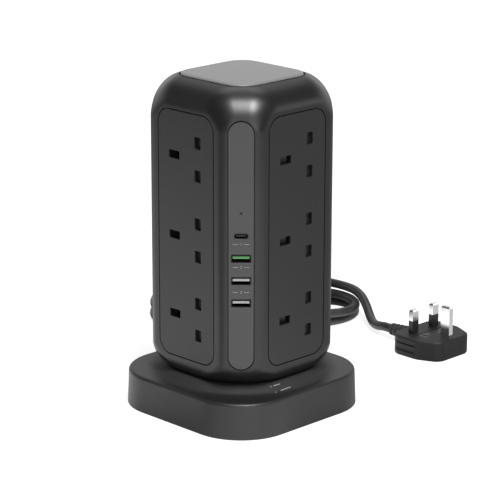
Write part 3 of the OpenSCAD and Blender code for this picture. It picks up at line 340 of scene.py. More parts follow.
rubber = moulded("soft_rubber", (0.02, 0.02, 0.021), 0.62, grain=1500.0, relief=0.00004, spread=0.2)
flange_top = GLAND_L + GLAND_INSIDE
gland_profile = (sleeve(GLAND_L, GLAND_R, GLAND_TIP_R, GLAND_TIP_EDGE, GLAND_RIBS)
                 + [(GLAND_R, flange_top - FLANGE_T), (FLANGE_R, flange_top - FLANGE_T),
                    (FLANGE_R, flange_top), (CENTRE_R, flange_top)])
gland = lathe("gland_sleeve", gland_profile, Matrix.Translation(gland_end) @ STAND, rubber)
boot_profile = (sleeve(BOOT_L, BOOT_R, BOOT_TIP_R, BOOT_TIP_EDGE, BOOT_RIBS)
                + [(BOOT_R, BOOT_L), (CENTRE_R, BOOT_L)])
boot = lathe("plug_boot_sleeve", boot_profile,
             Matrix.Translation(boot_end) @ Matrix.Rotation(math.radians(90), 4, "Y"), rubber)
for piece, node in ((gland, "cord_gland"), (boot, "plug_boot")):
    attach(piece, "base")
    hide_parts(node)


# Plug
# A plug moulded in one piece in black plastic, on its back: a rounded body, broad at
# the cord's end, with two grip grooves on each side and a recess for the fuse carrier.

def settle(piece):
    """Applies the modifiers of a piece to its mesh."""
    bpy.context.view_layer.update()
    done = bpy.data.meshes.new_from_object(piece.evaluated_get(bpy.context.evaluated_depsgraph_get()))
    piece.modifiers.clear()
    old = piece.data
    piece.data = done
    done.name = piece.name
    bpy.data.meshes.remove(old)


def keep_flat(piece):
    """Shades large flat faces flat, and bends the light over the small rounded edges only."""
    even = piece.modifiers.new("even", "WEIGHTED_NORMAL")
    even.keep_sharp = True
    settle(piece)


def in_metres(matrix):
    """The same placing, for a mesh in metres."""
    scaled = matrix.copy()
    scaled.translation = scaled.translation * MM
    return scaled


def mesh_of(data, name, matrix):
    """The mesh of a curve or of words, put in place by the matrix; the curve itself is removed."""
    shape = bpy.data.objects.new(name, data)
    bpy.context.scene.collection.objects.link(shape)
    bpy.context.view_layer.update()
    mesh = bpy.data.meshes.new_from_object(shape.evaluated_get(bpy.context.evaluated_depsgraph_get()))
    bpy.data.objects.remove(shape)
    bpy.data.curves.remove(data)
    mesh.name = name
    mesh.transform(in_metres(matrix))
    return mesh


def flat_piece(name, outlines, thickness, edge, matrix, made, steps=3, smooth=35):
    """A plate with rounded edges, from outlines in millimetres; the first is the outside."""
    curve = bpy.data.curves.new(name, "CURVE")
    curve.dimensions = "2D"
    curve.fill_mode = "BOTH"
    curve.extrude = (thickness / 2 - edge) * MM
    curve.bevel_depth = edge * MM
    curve.bevel_resolution = steps
    curve.offset = -edge * MM
    for outline in outlines:
        spline = curve.splines.new("POLY")
        spline.points.add(len(outline) - 1)
        for point, (x, y) in zip(spline.points, outline):
            point.co = (x * MM, y * MM, 0, 1)
        spline.use_cyclic_u = True
    mesh = mesh_of(curve, name, matrix)
    mend(mesh, 1e-6)
    piece = new_piece(name, mesh, made, smooth)
    keep_flat(piece)
    return piece


def round_rect(w, h, r, x=0, y=0, steps=10):
    """Outline of a rectangle with round corners, anticlockwise."""
    outline = []
    for k, (sx, sy) in enumerate(((1, 1), (-1, 1), (-1, -1), (1, -1))):
        for i in range(steps + 1):
            a = math.radians(90 * k + 90 * i / steps)
            outline.append((x + sx * (w / 2 - r) + r * math.cos(a), y + sy * (h / 2 - r) + r * math.sin(a)))
    return outline


def opening(w, h, r, x=0, y=0, steps=3):
    """Outline of an opening with round corners, clockwise."""
    return round_rect(w, h, r, x, y, steps)[::-1]


def prism(outline, z0, z1, matrix=Matrix()):
    """A closed solid between two heights over an outline, as a mesh."""
    n = len(outline)
    points = [tuple(matrix @ Vector((x, y, z))) for z in (z0, z1) for x, y in outline]
    faces = [tuple(reversed(range(n))), tuple(range(n, 2 * n))]
    faces += [(i, (i + 1) % n, n + (i + 1) % n, n + i) for i in range(n)]
    return mesh_from("cutter", points, faces)


def carve(piece, cutters):
    """Takes the cutters away from the piece."""
    bm = bmesh.new()
    for cutter in cutters:
        bm.from_mesh(cutter)
    joined = bpy.data.meshes.new("cutters")
    bm.to_mesh(joined)
    bm.free()
    mend(joined)
    tool = bpy.data.objects.new("cutters", joined)
    bpy.context.scene.collection.objects.link(tool)
    cut = piece.modifiers.new("cut", "BOOLEAN")
    cut.operation = "DIFFERENCE"
    cut.solver = "EXACT"
    cut.use_self = True
    cut.object = tool
    settle(piece)
    bpy.data.objects.remove(tool)


def soften(piece, width, angle=50, segments=2, smooth=35):
    """Rounds the sharp edges of a piece, and keeps its flat faces looking flat."""
    edge = piece.modifiers.new("edge", "BEVEL")
    edge.width = width * MM
    edge.segments = segments
    edge.limit_method = "ANGLE"
    edge.angle_limit = math.radians(angle)
    edge.harden_normals = False
    settle(piece)
    mesh = piece.data
    mesh.polygons.foreach_set("use_smooth", [True] * len(mesh.polygons))
    mesh.set_sharp_from_angle(angle=math.radians(smooth))
    keep_flat(piece)


PLUG_L, PLUG_W, PLUG_T = 42, 48, 15
PLUG_R, PLUG_EDGE, PLUG_CUT_EDGE = 9, 1.6, 0.25
NOSE_SHARE, SHOULDER_SHARE = 0.82, 0.55
PIN_REACH, LIVE_IN, FUSE_AT_SHARE = 22.23, 11.5, 0.47
FUSE_X = PLUG_X + LIVE_IN + PIN_REACH * FUSE_AT_SHARE
FUSE_W, FUSE_L, FUSE_T, FUSE_R = 8, 27.4, 8, 0.8
FUSE_GAP, FUSE_UNDER, RECESS_R = 0.3, 0.2, 1
GRIP_L, GRIP_DEPTH, GRIP_AT_SHARE, GRIP_END_SHARE = 18, 1, 0.36, 0.45
GRIPS = ((0.34, 2.6), (0.66, 1.3))
CORNER_STEPS = 8
OVER = 1


def plug_outline():
    """The outside of the plug, seen from above, from six corner circles."""
    nose = PLUG_W * NOSE_SHARE / 2
    r = PLUG_R
    shoulder = PLUG_X + PLUG_L * SHOULDER_SHARE
    centres = [(PLUG_X + PLUG_L - r, nose - r), (shoulder, PLUG_W / 2 - r), (PLUG_X + r, PLUG_W / 2 - r),
               (PLUG_X + r, r - PLUG_W / 2), (shoulder, r - PLUG_W / 2), (PLUG_X + PLUG_L - r, r - nose)]
    lean = math.degrees(math.atan2(PLUG_W / 2 - nose, PLUG_X + PLUG_L - r - shoulder))
    turns = [(0, 90 - lean), (90 - lean, 90), (90, 180), (180, 270), (270, 270 + lean), (270 + lean, 360)]
    outline = []
    for (x, y), (a0, a1) in zip(centres, turns):
        for i in range(CORNER_STEPS + 1):
            a = math.radians(a0 + (a1 - a0) * i / CORNER_STEPS)
            outline.append((x + r * math.cos(a), PLUG_Y + y + r * math.sin(a)))
    return outline


plug_black = moulded("plug_black", (0.006, 0.006, 0.0063), 0.6, grain=2200.0, relief=0.00003, spread=0.15)
plug = flat_piece("plug_moulding", [plug_outline()], PLUG_T, PLUG_EDGE,
                  Matrix.Translation((0, 0, PLUG_T / 2)), plug_black, steps=5)
grips = []
for side in (-1, 1):
    grip_side = Matrix.Translation((PLUG_X + PLUG_L * GRIP_AT_SHARE, PLUG_Y + side * PLUG_W / 2, 0)) @ STAND
    for height_share, tall in GRIPS:
        grip = round_rect(GRIP_L, tall, tall * GRIP_END_SHARE, 0, PLUG_T * height_share)
        grips.append(prism(grip, -GRIP_DEPTH, GRIP_DEPTH, grip_side))
recess = round_rect(FUSE_W + 2 * FUSE_GAP, FUSE_L + 2 * FUSE_GAP, RECESS_R, FUSE_X, PLUG_Y)
carve(plug, grips + [prism(recess, PLUG_T - FUSE_T - FUSE_UNDER, PLUG_T + OVER)])
soften(plug, PLUG_CUT_EDGE)
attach(plug, "base")
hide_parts("plug_body")


# Fuse carrier
# A small tray of harder black plastic that is pressed into the face of the plug
# between its pins, with a slot near one end where a blade levers it out.

FUSE_SUNK, FUSE_EDGE, FUSE_CUT_EDGE = 0.15, 0.4, 0.15
LEVER_W, LEVER_H, LEVER_R, LEVER_AT, LEVER_DEPTH = 5, 1.6, 0.4, 10, 0.9
carrier_black = moulded("carrier_black", (0.03, 0.03, 0.031), 0.4, grain=1500.0, spread=0.15)
fuse = flat_piece("fuse_carrier_cap", [round_rect(FUSE_W, FUSE_L, FUSE_R, FUSE_X, PLUG_Y)], FUSE_T,
                  FUSE_EDGE, Matrix.Translation((0, 0, PLUG_T - FUSE_T / 2 - FUSE_SUNK)), carrier_black)
lever_slot = round_rect(LEVER_W, LEVER_H, LEVER_R, FUSE_X, PLUG_Y - LEVER_AT)
carve(fuse, [prism(lever_slot, PLUG_T - LEVER_DEPTH, PLUG_T + OVER)])
soften(fuse, FUSE_CUT_EDGE)
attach(fuse, "base")
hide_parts("fuse_carrier")


# Plug pins and their sleeves
# Drawn brass pins with a bright nickel plating, faintly brushed along their
# length; line and neutral stand in black insulating sleeves.

nickel, place = material("bright_nickel", (0.92, 0.92, 0.92), 0.2, metallic=1.0)
drawn = place.noise(900.0, 3.0, (1, 1, 0.06))
worn = place.noise(160.0, 3.0)
feed(nickel,
     Base_Color=(worn * 0.5 + drawn * 0.5).step(0.3, 0.7).mix((0.88, 0.88, 0.87), (0.96, 0.96, 0.96)),
     Roughness=drawn * 0.08 + worn * 0.06 + 0.1,
     Normal=bump(drawn, 0.06, 0.00001))
sleeve_black = moulded("sleeve_black", (0.012, 0.012, 0.012), 0.35, grain=900.0, spread=0.2)


def dress(made, *names):
    """Gives CAD nodes that keep their own shape a material."""
    for name in names:
        mesh = nodes[name].data
        mesh.materials.clear()
        mesh.materials.append(made)


dress(nickel, "plug_pins")
dress(sleeve_black, "pin_sleeves")


# Tower shell
# One moulded charcoal shell with flat sides, rounded corners with a narrow flat,
# and a soft rounding above and below. The plates lie flush in its recesses.

TOWER_W, TOWER_DIAG = 103.4, 120.7
SIDE_D, CORNER_D = TOWER_W / 2, TOWER_DIAG / 2
TOWER_Z0, TOWER_H = 30.5, 199
TOWER_TOP = TOWER_Z0 + TOWER_H
EDGE_R, SHOULDER_SWELL, TOP_R = 10, 14, 15.5
CAP_W, CAP_R, CAP_SEAT, CAP_SEAM = 68, 16, 1.3, 0.45
CAP_CORNER = math.sqrt(2) * CAP_W / 2 - CAP_R * (math.sqrt(2) - 1)
SIDE_TOP_H, CORNER_TOP_H, SIDE_LOW_H, CORNER_LOW_H = 16.5, 26.5, 10.5, 15.3
UNDER_IN, CORNER_UNDER_IN, FOOT_FLAT = 4, 11, 0.8
FOOT_D, FOOT_CORNER_D = SIDE_D - UNDER_IN, CORNER_D - CORNER_UNDER_IN
LOW_R = (FOOT_D * math.sqrt(2) - FOOT_CORNER_D - FOOT_FLAT) / (math.sqrt(2) - 1)
MID_Z = 126.9
STRAIGHT_Z = [80, 130, 170]
RIM_DROP = 0.12
TOP_SHARE, LOW_SHARE = 0.946, 0.96
PLATE_W, PLATE_H, PLATE_R, PLATE_T = 52.1, 168.8, 10, 2.5
STRIP_W, STRIP_H, STRIP_T = 16.8, 167.4, 2.2
SEAM, LEDGE, STRIP_LEDGE = 0.55, 2.1, 1.4
SHELL_T, SHELL_CUT_EDGE, WINDOW_DEPTH, CUT_OVER = 4.8, 0.18, 8, 3
HOLLOW_DROP, HOLLOW_H = 1, TOWER_H - 1.5
LOW_RINGS, TOP_RINGS, SEAT_RINGS = 20, 34, 3
HOLLOW_LOW_SKIP, HOLLOW_TOP_SKIP = 4, 6
END_FLAT = 0.05


def drawn_in(t):
    """How far a quarter circle has come in at a share of its height."""
    return 1 - math.sqrt(1 - t * t)


def tower_distance(z, d, top_h, top_in, low_h, low_in):
    """Distance of a side or a corner flat from the axis at height z."""
    if z > TOWER_TOP - top_h:
        return d - top_in * drawn_in(TOP_SHARE * (z - TOWER_TOP + top_h) / top_h) / drawn_in(TOP_SHARE)
    if z < TOWER_Z0 + low_h:
        return d - low_in * drawn_in(LOW_SHARE * (TOWER_Z0 + low_h - z) / low_h) / drawn_in(LOW_SHARE)
    return d


def edge_radius(z):
    """Radius between a side and a corner flat at height z."""
    if z > TOWER_TOP - CORNER_TOP_H:
        t = (z - TOWER_TOP + CORNER_TOP_H) / CORNER_TOP_H
        return EDGE_R + (TOP_R - EDGE_R) * t + SHOULDER_SWELL * (4 * t * (1 - t)) ** 2
    if z < TOWER_Z0 + CORNER_LOW_H:
        return EDGE_R + (LOW_R - EDGE_R) * (TOWER_Z0 + CORNER_LOW_H - z) / CORNER_LOW_H
    return EDGE_R


def eight_ring(side, corner, r, z, steps=12):
    """A ring at height z from the distances of its sides and corner flats, and the radius between."""
    ring = []
    for k in range(8):
        from_a = math.radians(45 * k - 45)
        to_a = from_a + math.radians(45)
        first, last = (corner - r, side - r) if k % 2 == 0 else (side - r, corner - r)
        s = math.sin(to_a - from_a)
        cx = (first * math.sin(to_a) - last * math.sin(from_a)) / s
        cy = (last * math.cos(from_a) - first * math.cos(to_a)) / s
        for i in range(steps):
            a = from_a + (to_a - from_a) * i / (steps - 1)
            ring.append((cx + r * math.cos(a), cy + r * math.sin(a), z))
    return ring


def tower_ring(z, inset=0.0, z_out=None):
    """The tower's ring at height z, drawn in by an inset; z_out moves it to another height."""
    side = tower_distance(z, SIDE_D, SIDE_TOP_H, SIDE_D - CAP_W / 2, SIDE_LOW_H, UNDER_IN)
    corner = tower_distance(z, CORNER_D, CORNER_TOP_H, CORNER_D - CAP_CORNER, CORNER_LOW_H, CORNER_UNDER_IN)
    return eight_ring(side - inset, corner - inset, edge_radius(z) - inset, z if z_out is None else z_out)


def skin(name, rings, made, close=True, smooth=35):
    """Joins rings with the same number of points; closed at both ends, or joined end to end."""
    n, count = len(rings[0]), len(rings)
    points = [p for ring in rings for p in ring]
    faces = []
    for j in range(count - 1 if close else count):
        a, b = j * n, (j + 1) % count * n
        faces += [(a + i, a + (i + 1) % n, b + (i + 1) % n, b + i) for i in range(n)]
    if close:
        faces += [tuple(reversed(range(n))), tuple(range(len(points) - n, len(points)))]
    mesh = mesh_from(name, points, faces)
    mend(mesh)
    return new_piece(name, mesh, made, smooth)


def facing(turn, distance):
    """The frame of a face of the tower: X to the right, Y up, Z out of the face."""
    return Matrix.Rotation(math.radians(turn), 4, "Z") @ Matrix.Translation((0, -distance, MID_Z)) @ STAND


def on_side(k):
    """The frame of side k: 0 front, 1 right, 2 back, 3 left."""
    return facing(90 * k, SIDE_D)


def on_corner():
    """The frame of the corner flat between the front and right sides."""
    return facing(45, CORNER_D)


def stadium(w, h, steps=10):
    """Outline of a rectangle with ends that are all but half circles."""
    return round_rect(w, h, w / 2 - END_FLAT, steps=steps)


charcoal = moulded("charcoal_shell", (0.006, 0.006, 0.0063), 0.35, spread=0.08)
low = [TOWER_Z0 + CORNER_LOW_H * (1 - math.cos(math.radians(90 * i / LOW_RINGS)))
       for i in range(LOW_RINGS + 1)]
high = [TOWER_TOP - CORNER_TOP_H * (1 - math.sin(math.radians(90 * i / TOP_RINGS)))
        for i in range(TOP_RINGS + 1)]
outer = [tower_ring(z) for z in low + STRAIGHT_Z + high[:-SEAT_RINGS]]
rim = [eight_ring(CAP_W / 2 + CAP_SEAM, CAP_CORNER + CAP_SEAM, TOP_R + CAP_SEAM, z)
       for z in (TOWER_TOP - RIM_DROP, TOWER_TOP - CAP_SEAT)]
shell = skin("tower_casing", outer + rim, charcoal)
hollow_rings = [tower_ring(z, SHELL_T, TOWER_Z0 - HOLLOW_DROP + (z - TOWER_Z0) * HOLLOW_H / TOWER_H)
                for z in low[::HOLLOW_LOW_SKIP] + high[::HOLLOW_TOP_SKIP] + high[-1:]]
hollow = skin("hollow", hollow_rings, None)
plate_recess = round_rect(PLATE_W + 2 * SEAM, PLATE_H + 2 * SEAM, PLATE_R + SEAM)
plate_window = round_rect(PLATE_W - 2 * LEDGE, PLATE_H - 2 * LEDGE, PLATE_R - LEDGE)
strip_recess = stadium(STRIP_W + 2 * SEAM, STRIP_H + 2 * SEAM, 16)
strip_window = stadium(STRIP_W - 2 * STRIP_LEDGE, STRIP_H - 2 * STRIP_LEDGE)
carve(shell, [hollow.data]
      + [prism(plate_recess, -PLATE_T, CUT_OVER, on_side(k)) for k in range(4)]
      + [prism(strip_recess, -STRIP_T, CUT_OVER, on_corner())]
      + [prism(plate_window, -WINDOW_DEPTH, OVER, on_side(k)) for k in range(4)]
      + [prism(strip_window, -WINDOW_DEPTH, OVER, on_corner())])
bpy.data.objects.remove(hollow)
soften(shell, SHELL_CUT_EDGE, angle=55)
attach(shell, "base")
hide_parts("tower_shell")


# Cap
# A flat square lid of smooth plastic with a rounded edge, pressed into a shallow seat
# and undercut, so that a fine dark line runs round it. Its pale grey is painted
# reflection: far lighter than the shell, to stand in for the bright room mirrored on its top.

CAP_IN, CAP_LIFT, CAP_UNDERCUT, GROOVE_DROP = 0.75, 0.1, 0.8, 0.05
CAP_EDGE_IN, CAP_EDGE_H, CAP_EDGE_RINGS = 2.6, 1.2, 8
# painted reflection: the lid's grey is made far paler than the shell's, to stand in for the bright room
# mirrored on its flat top
cap_painted_reflection = moulded("cap_painted_reflection", (0.15, 0.15, 0.151), 0.36, grain=3000.0, relief=0.00001, spread=0.03)


def cap_ring(inset, z):
    """The cap's outline at height z, drawn in by an inset."""
    inset += CAP_IN
    return eight_ring(CAP_W / 2 - inset, CAP_CORNER - inset, TOP_R - inset, z, steps=16)


cap_rings = [cap_ring(CAP_UNDERCUT, z) for z in (TOWER_TOP - CAP_SEAT + CAP_LIFT, TOWER_TOP - GROOVE_DROP)]
for i in range(CAP_EDGE_RINGS + 1):
    a = math.radians(90 * i / CAP_EDGE_RINGS)
    cap_rings.append(cap_ring(CAP_EDGE_IN * (1 - math.cos(a)),
                              TOWER_TOP + CAP_LIFT + CAP_EDGE_H * math.sin(a)))
cap = skin("lid", cap_rings, cap_painted_reflection)
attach(cap, "base")
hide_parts("top_cap")


# Face plates
# Four flush plates of the same charcoal plastic, laid in the shell's recesses, with
# the openings of three sockets each: a long slot for earth, and two upright ones for
# line and neutral. The left plate has two sockets and the master switch.

PITCH_V = 54.6
EARTH_SLOT, LIVE_SLOT, SLOT_R = (9.9, 5.5), (5.7, 8.0), 0.4
EARTH_U = -10.9
LIVE_U = EARTH_U + PIN_REACH
SWITCH_OPENING, SWITCH_OPENING_R = (13.2, 19.2), 0.6
PLATE_TRIM, PLATE_EDGE = 0.2, 0.18
WALL_BAND, WALL_LEAN = 1, 0.85
SIDES = ("front", "right", "back", "left")
SOCKET_ROWS = ((-1, 0, 1), (-1, 0, 1), (-1, 0, 1), (0, 1))
plate_charcoal = moulded("plate_charcoal", (0.007, 0.007, 0.0073), 0.4, spread=0.06)
# painted shade: a matt near-black for the outer walls of plates and strip, which stands in for the shadow
# in the seam round each one
painted_seam_shade = moulded("painted_seam_shade", (0.004, 0.004, 0.004), 0.8, grain=1800.0, spread=0.1, specular=0.1)


def paint_seam_shade(piece, face_frame, w, h, r):
    """Paints the outer walls of a plate a matt black: painted shade for the dark gap of the seam round it.
    """
    piece.data.materials.append(painted_seam_shade)
    into = in_metres(face_frame).inverted()
    for face in piece.data.polygons:
        at, way = into @ face.center / MM, into.to_3x3() @ face.normal
        x, y = abs(at.x) - w / 2 + r, abs(at.y) - h / 2 + r
        reach = math.hypot(x, y) if x > 0 and y > 0 else max(x, y)
        if abs(way.z) < WALL_LEAN and reach > r - WALL_BAND:
            face.material_index = 1


for k, side in enumerate(SIDES):
    outlines = [round_rect(PLATE_W - PLATE_TRIM, PLATE_H - PLATE_TRIM, PLATE_R - PLATE_TRIM / 2, steps=14)]
    for row in SOCKET_ROWS[k]:
        v = row * PITCH_V
        outlines.append(opening(*EARTH_SLOT, SLOT_R, EARTH_U, v))
        outlines += [opening(*LIVE_SLOT, SLOT_R, LIVE_U, v + s * PIN_REACH / 2) for s in (-1, 1)]
    if side == "left":
        outlines.append(opening(*SWITCH_OPENING, SWITCH_OPENING_R, 0, -PITCH_V))
    plate = flat_piece(f"plate_{side}", outlines, PLATE_T, PLATE_EDGE,
                       on_side(k) @ Matrix.Translation((0, 0, -PLATE_T / 2)), plate_charcoal, steps=2)
    paint_seam_shade(plate, on_side(k), PLATE_W, PLATE_H, PLATE_R)
    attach(plate, "base")
    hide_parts(f"face_plate_{side}")


# Charging strip
# A long strip of slightly paler plastic with half-round ends, laid in the recess on
# the front corner, with an oval opening, three wide ones and a pinhole.

PORT_PITCH = 15.2
PORT_TOP = 134.6 - MID_Z
PINHOLE_V = 149.9 - MID_Z
OVAL_PORT, WIDE_PORT, PINHOLE = (9.5, 3.7, 1.8), (13.1, 5.7, 0.35), (1.7, 1.7, 0.82)
STRIP_EDGE = 0.2
strip_charcoal = moulded("strip_charcoal", (0.036, 0.036, 0.0365), 0.4, spread=0.06)
outlines = [stadium(STRIP_W - PLATE_TRIM, STRIP_H - PLATE_TRIM, 20),
            opening(*OVAL_PORT, 0, PORT_TOP, steps=8),
            opening(*PINHOLE, 0, PINHOLE_V, steps=5)]
outlines += [opening(*WIDE_PORT, 0, PORT_TOP - i * PORT_PITCH) for i in (1, 2, 3)]
strip = flat_piece("port_strip", outlines, STRIP_T, STRIP_EDGE,
                   on_corner() @ Matrix.Translation((0, 0, -STRIP_T / 2)), strip_charcoal, steps=2)
paint_seam_shade(strip, on_corner(), STRIP_W, STRIP_H, STRIP_W / 2)
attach(strip, "base")
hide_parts("charging_strip")


# Port shells, tongues and lamps
# Folded, blackened steel shells behind the strip, each round a moulded tongue. The
# wide ones carry four gilt contacts each, on a green tongue in the top port and on
# pale ones below. The lamps are small moulded lenses.

CONTACT_W, CONTACT_L, CONTACT_R, CONTACT_T, CONTACT_EDGE = 1, 6.4, 0.3, 0.14, 0.05
CONTACT_PITCH, CONTACT_DROP, CONTACT_DEPTH = 2.4, 0.27, 4.6
port_black, place = material("port_black", (0.03, 0.03, 0.03), 0.4, metallic=1.0)
rolled = place.noise(1400.0, 2.0, (1, 1, 0.2))
feed(port_black,
     Base_Color=rolled.step(0.3, 0.7).mix((0.02, 0.02, 0.02), (0.045, 0.045, 0.045)),
     Roughness=rolled * 0.2 + 0.3,
     Normal=bump(rolled, 0.2, 0.00001))
dress(port_black, "usb_a_ports", "usb_c_port")
dress(moulded("tongue_green", (0.06, 0.2, 0.06), 0.38, grain=1600.0), "usb_tongue_green")
dress(moulded("tongue_pale", (0.3, 0.3, 0.3), 0.4, grain=1600.0, spread=0.05), "usb_tongues_pale")
dress(sleeve_black, "usb_c_tongue", "status_lamp")
dress(moulded("lamp_clear", (0.16, 0.17, 0.18), 0.3, grain=800.0, spread=0.1), "base_lamps")
gilt, place = material("gilt_contact", (0.8, 0.58, 0.24), 0.25, metallic=1.0)
dull = place.noise(700.0, 2.0)
feed(gilt,
     Base_Color=dull.mix((0.7, 0.5, 0.2), (0.88, 0.66, 0.32)),
     Roughness=dull * 0.2 + 0.15)
contact_outline = round_rect(CONTACT_W, CONTACT_L, CONTACT_R, steps=3)
for i in (1, 2, 3):
    for j in range(4):
        at = (CONTACT_PITCH * (j - 1.5), PORT_TOP - i * PORT_PITCH - CONTACT_DROP, -CONTACT_DEPTH)
        contact = flat_piece(f"port_{i}_contact_{j}", [contact_outline], CONTACT_T, CONTACT_EDGE,
                             on_corner() @ Matrix.Translation(at) @ STAND, gilt, steps=1)
        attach(contact, "base")


# Port numbers
# Small plain numbers under the ports with a short rule on each side, printed in
# grey ink on the strip.

NUMBER_SIZE, INK_T, INK_OVER = 2.6, 0.02, 0.03
RULE_W, RULE_H, RULE_R, RULE_T, RULE_EDGE, RULE_AT = 3.6, 0.32, 0.15, 0.04, 0.015, 3.6
NUMBER_HEIGHTS = (("1", 129.2), ("2", 113.6), ("3", 96.6))
print_grey, place = material("print_grey", (0.24, 0.24, 0.24), 0.6)
patchy = place.noise(1500.0, 2.0)
feed(print_grey,
     Base_Color=patchy.step(0.3, 0.7).mix((0.18, 0.18, 0.18), (0.3, 0.3, 0.3)),
     Roughness=patchy * 0.1 + 0.55)


def printed(name, words, matrix):
    """Plain characters as a thin printed layer, centred at the matrix."""
    text = bpy.data.curves.new(name, "FONT")
    text.body = words
    text.size = NUMBER_SIZE * MM
    text.align_x = "CENTER"
    text.align_y = "CENTER"
    text.extrude = INK_T * MM
    return new_piece(name, mesh_of(text, name, matrix), print_grey, 0)


for number, number_z in NUMBER_HEIGHTS:
    at = on_corner() @ Matrix.Translation((0, number_z - MID_Z, INK_OVER))
    prints = [printed(f"port_number_{number}", number, at)]
    for s, end in ((-1, "a"), (1, "b")):
        beside = at @ Matrix.Translation((s * RULE_AT, 0, 0))
        prints.append(flat_piece(f"port_rule_{number}_{end}", [round_rect(RULE_W, RULE_H, RULE_R, steps=3)],
                                 RULE_T, RULE_EDGE, beside, print_grey, steps=1, smooth=0))
    for piece in prints:
        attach(piece, "base")


# Master switch
# A black rocker in a slim bezel low on the left side: glossy mouldings, with the
# housing in the plate's opening.

BEZEL_W, BEZEL_H, BEZEL_R, BEZEL_T, BEZEL_EDGE, BEZEL_OFF = 15, 21, 1.2, 0.9, 0.25, 0.1
ROCKER_OPENING, ROCKER_OPENING_R = (9.8, 15.8), 0.5
switch_black = moulded("switch_black", (0.018, 0.018, 0.018), 0.3, grain=1800.0, relief=0.00001, spread=0.1)
bezel = flat_piece("switch_bezel", [round_rect(BEZEL_W, BEZEL_H, BEZEL_R, 0, -PITCH_V),
                                    opening(*ROCKER_OPENING, ROCKER_OPENING_R, 0, -PITCH_V)],
                   BEZEL_T, BEZEL_EDGE, on_side(3) @ Matrix.Translation((0, 0, BEZEL_OFF + BEZEL_T / 2)),
                   switch_black)
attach(bezel, "base")
dress(switch_black, "switch_housing", "switch_rocker")


# Base housing
# A low rounded-square housing in the same charcoal plastic, moulded in one piece
# with leaning sides, a small rounded edge and a soft flare that rises under the
# tower. The flare is more matt where it meets the tower's foot.

BASE_W, BASE_R, BASE_H, BASE_Z0 = 133, 37.5, 25, 0.3
BASE_DRAFT, BASE_WALL, BASE_EDGE, BASE_EDGE_RINGS, BASE_CUT_EDGE = 0.95, 2.5, 2.2, 8, 0.15
LOWER_EDGE_UP, LOWER_EDGE_IN = 0.2, 0.3
FLARE_R, FLARE_TOP_R, FLARE_H, FLARE_RINGS = 60, 50, 5.2, 16
NECK_HOLE_R = 18.3
LAMP_X, LAMP_Y = (49.5, 54.1), -21.7
LAMP_HOLE_D, LAMP_HOLE_R, LAMP_HOLE_REACH = 2, 0.98, 10
CORD_HOLE_D, CORD_HOLE_R, CORD_HOLE_FROM, CORD_HOLE_TO = 11.4, 5.6, 60, 70
RING = 192
MATT_FULL, MATT_END, MATT_GAIN = 0.053, 0.068, 0.3
half = BASE_W / 2
rays = [2 * math.pi * (i + 0.5) / RING for i in range(RING)]


def square_ring(inset, z):
    """The base's rounded square at height z, drawn in by an inset, with points on even rays."""
    side, r = half - inset, BASE_R - inset
    k = side - r
    ring = []
    for a in rays:
        c, s = abs(math.cos(a)), abs(math.sin(a))
        d = side / max(c, s)
        if d * c > k and d * s > k:
            b = k * (c + s)
            d = b + math.sqrt(max(b * b - 2 * k * k + r * r, 0))
        ring.append((d * math.cos(a), d * math.sin(a), z))
    return ring


def round_ring(r, z):
    """A circle at height z, with points on the same rays."""
    return [(r * math.cos(a), r * math.sin(a), z) for a in rays]


def flare_rise(t):
    """Height of the flare above the base's top, at a share of its way in."""
    return FLARE_H * t * t * (3 - 2 * t)


def foot_shade(place):
    """How much rougher the flare is towards the tower's foot."""
    flat = place.node("ShaderNodeVectorMath", place, (1, 1, 0), operation="MULTIPLY")
    reach = flat.node("ShaderNodeVectorMath", flat, operation="LENGTH", out=1)
    return (1 - reach.step(MATT_FULL, MATT_END)) * MATT_GAIN


charcoal_base = moulded("charcoal_base", (0.01, 0.01, 0.0103), 0.44, spread=0.08, rougher=foot_shade)
side_rings = [square_ring(0, BASE_Z0 + LOWER_EDGE_UP)]
for i in range(BASE_EDGE_RINGS + 1):
    a = math.radians(90 * i / BASE_EDGE_RINGS)
    side_rings.append(square_ring(BASE_DRAFT + BASE_EDGE * (1 - math.cos(a)),
                                  BASE_H - BASE_EDGE + BASE_EDGE * math.sin(a)))
flare = [round_ring(FLARE_R - (FLARE_R - FLARE_TOP_R) * i / FLARE_RINGS,
                    BASE_H + flare_rise(i / FLARE_RINGS)) for i in range(FLARE_RINGS + 1)]
neck_hole = [round_ring(NECK_HOLE_R, BASE_H + FLARE_H), round_ring(NECK_HOLE_R, BASE_H - BASE_WALL)]
inside = [square_ring(BASE_WALL + BASE_DRAFT, BASE_H - BASE_WALL), square_ring(BASE_WALL, BASE_Z0),
          square_ring(LOWER_EDGE_IN, BASE_Z0)]
base = skin("base_casing", side_rings + flare + neck_hole + inside, charcoal_base, close=False)
lamp_holes = [prism(round_rect(LAMP_HOLE_D, LAMP_HOLE_D, LAMP_HOLE_R, x, LAMP_Y, steps=6),
                    BASE_H - LAMP_HOLE_REACH, BASE_H + LAMP_HOLE_REACH) for x in LAMP_X]
cord_hole = prism(round_rect(CORD_HOLE_D, CORD_HOLE_D, CORD_HOLE_R, GLAND_X, GLAND_Z, steps=12),
                  -CORD_HOLE_TO, -CORD_HOLE_FROM, STAND)
carve(base, lamp_holes + [cord_hole])
soften(base, BASE_CUT_EDGE, angle=60, segments=1)
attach(base, "base")
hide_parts("base_housing")


# Marks by the base lamps
# One short rule beside each lamp, printed in grey ink on the base's top along the
# slope of the flare.

MARKS = (((50.4, -19.8), (51.5, -14.9)), ((55, -17.9), (56, -9.4)))
MARK_W, MARK_SUNK, MARK_RINGS = 0.5, 0.05, 8


def on_flare(x, y, over):
    """The point on the base's top over a place, raised a little."""
    t = max(0, (FLARE_R - math.hypot(x, y)) / (FLARE_R - FLARE_TOP_R))
    return x, y, BASE_H + flare_rise(t) + over


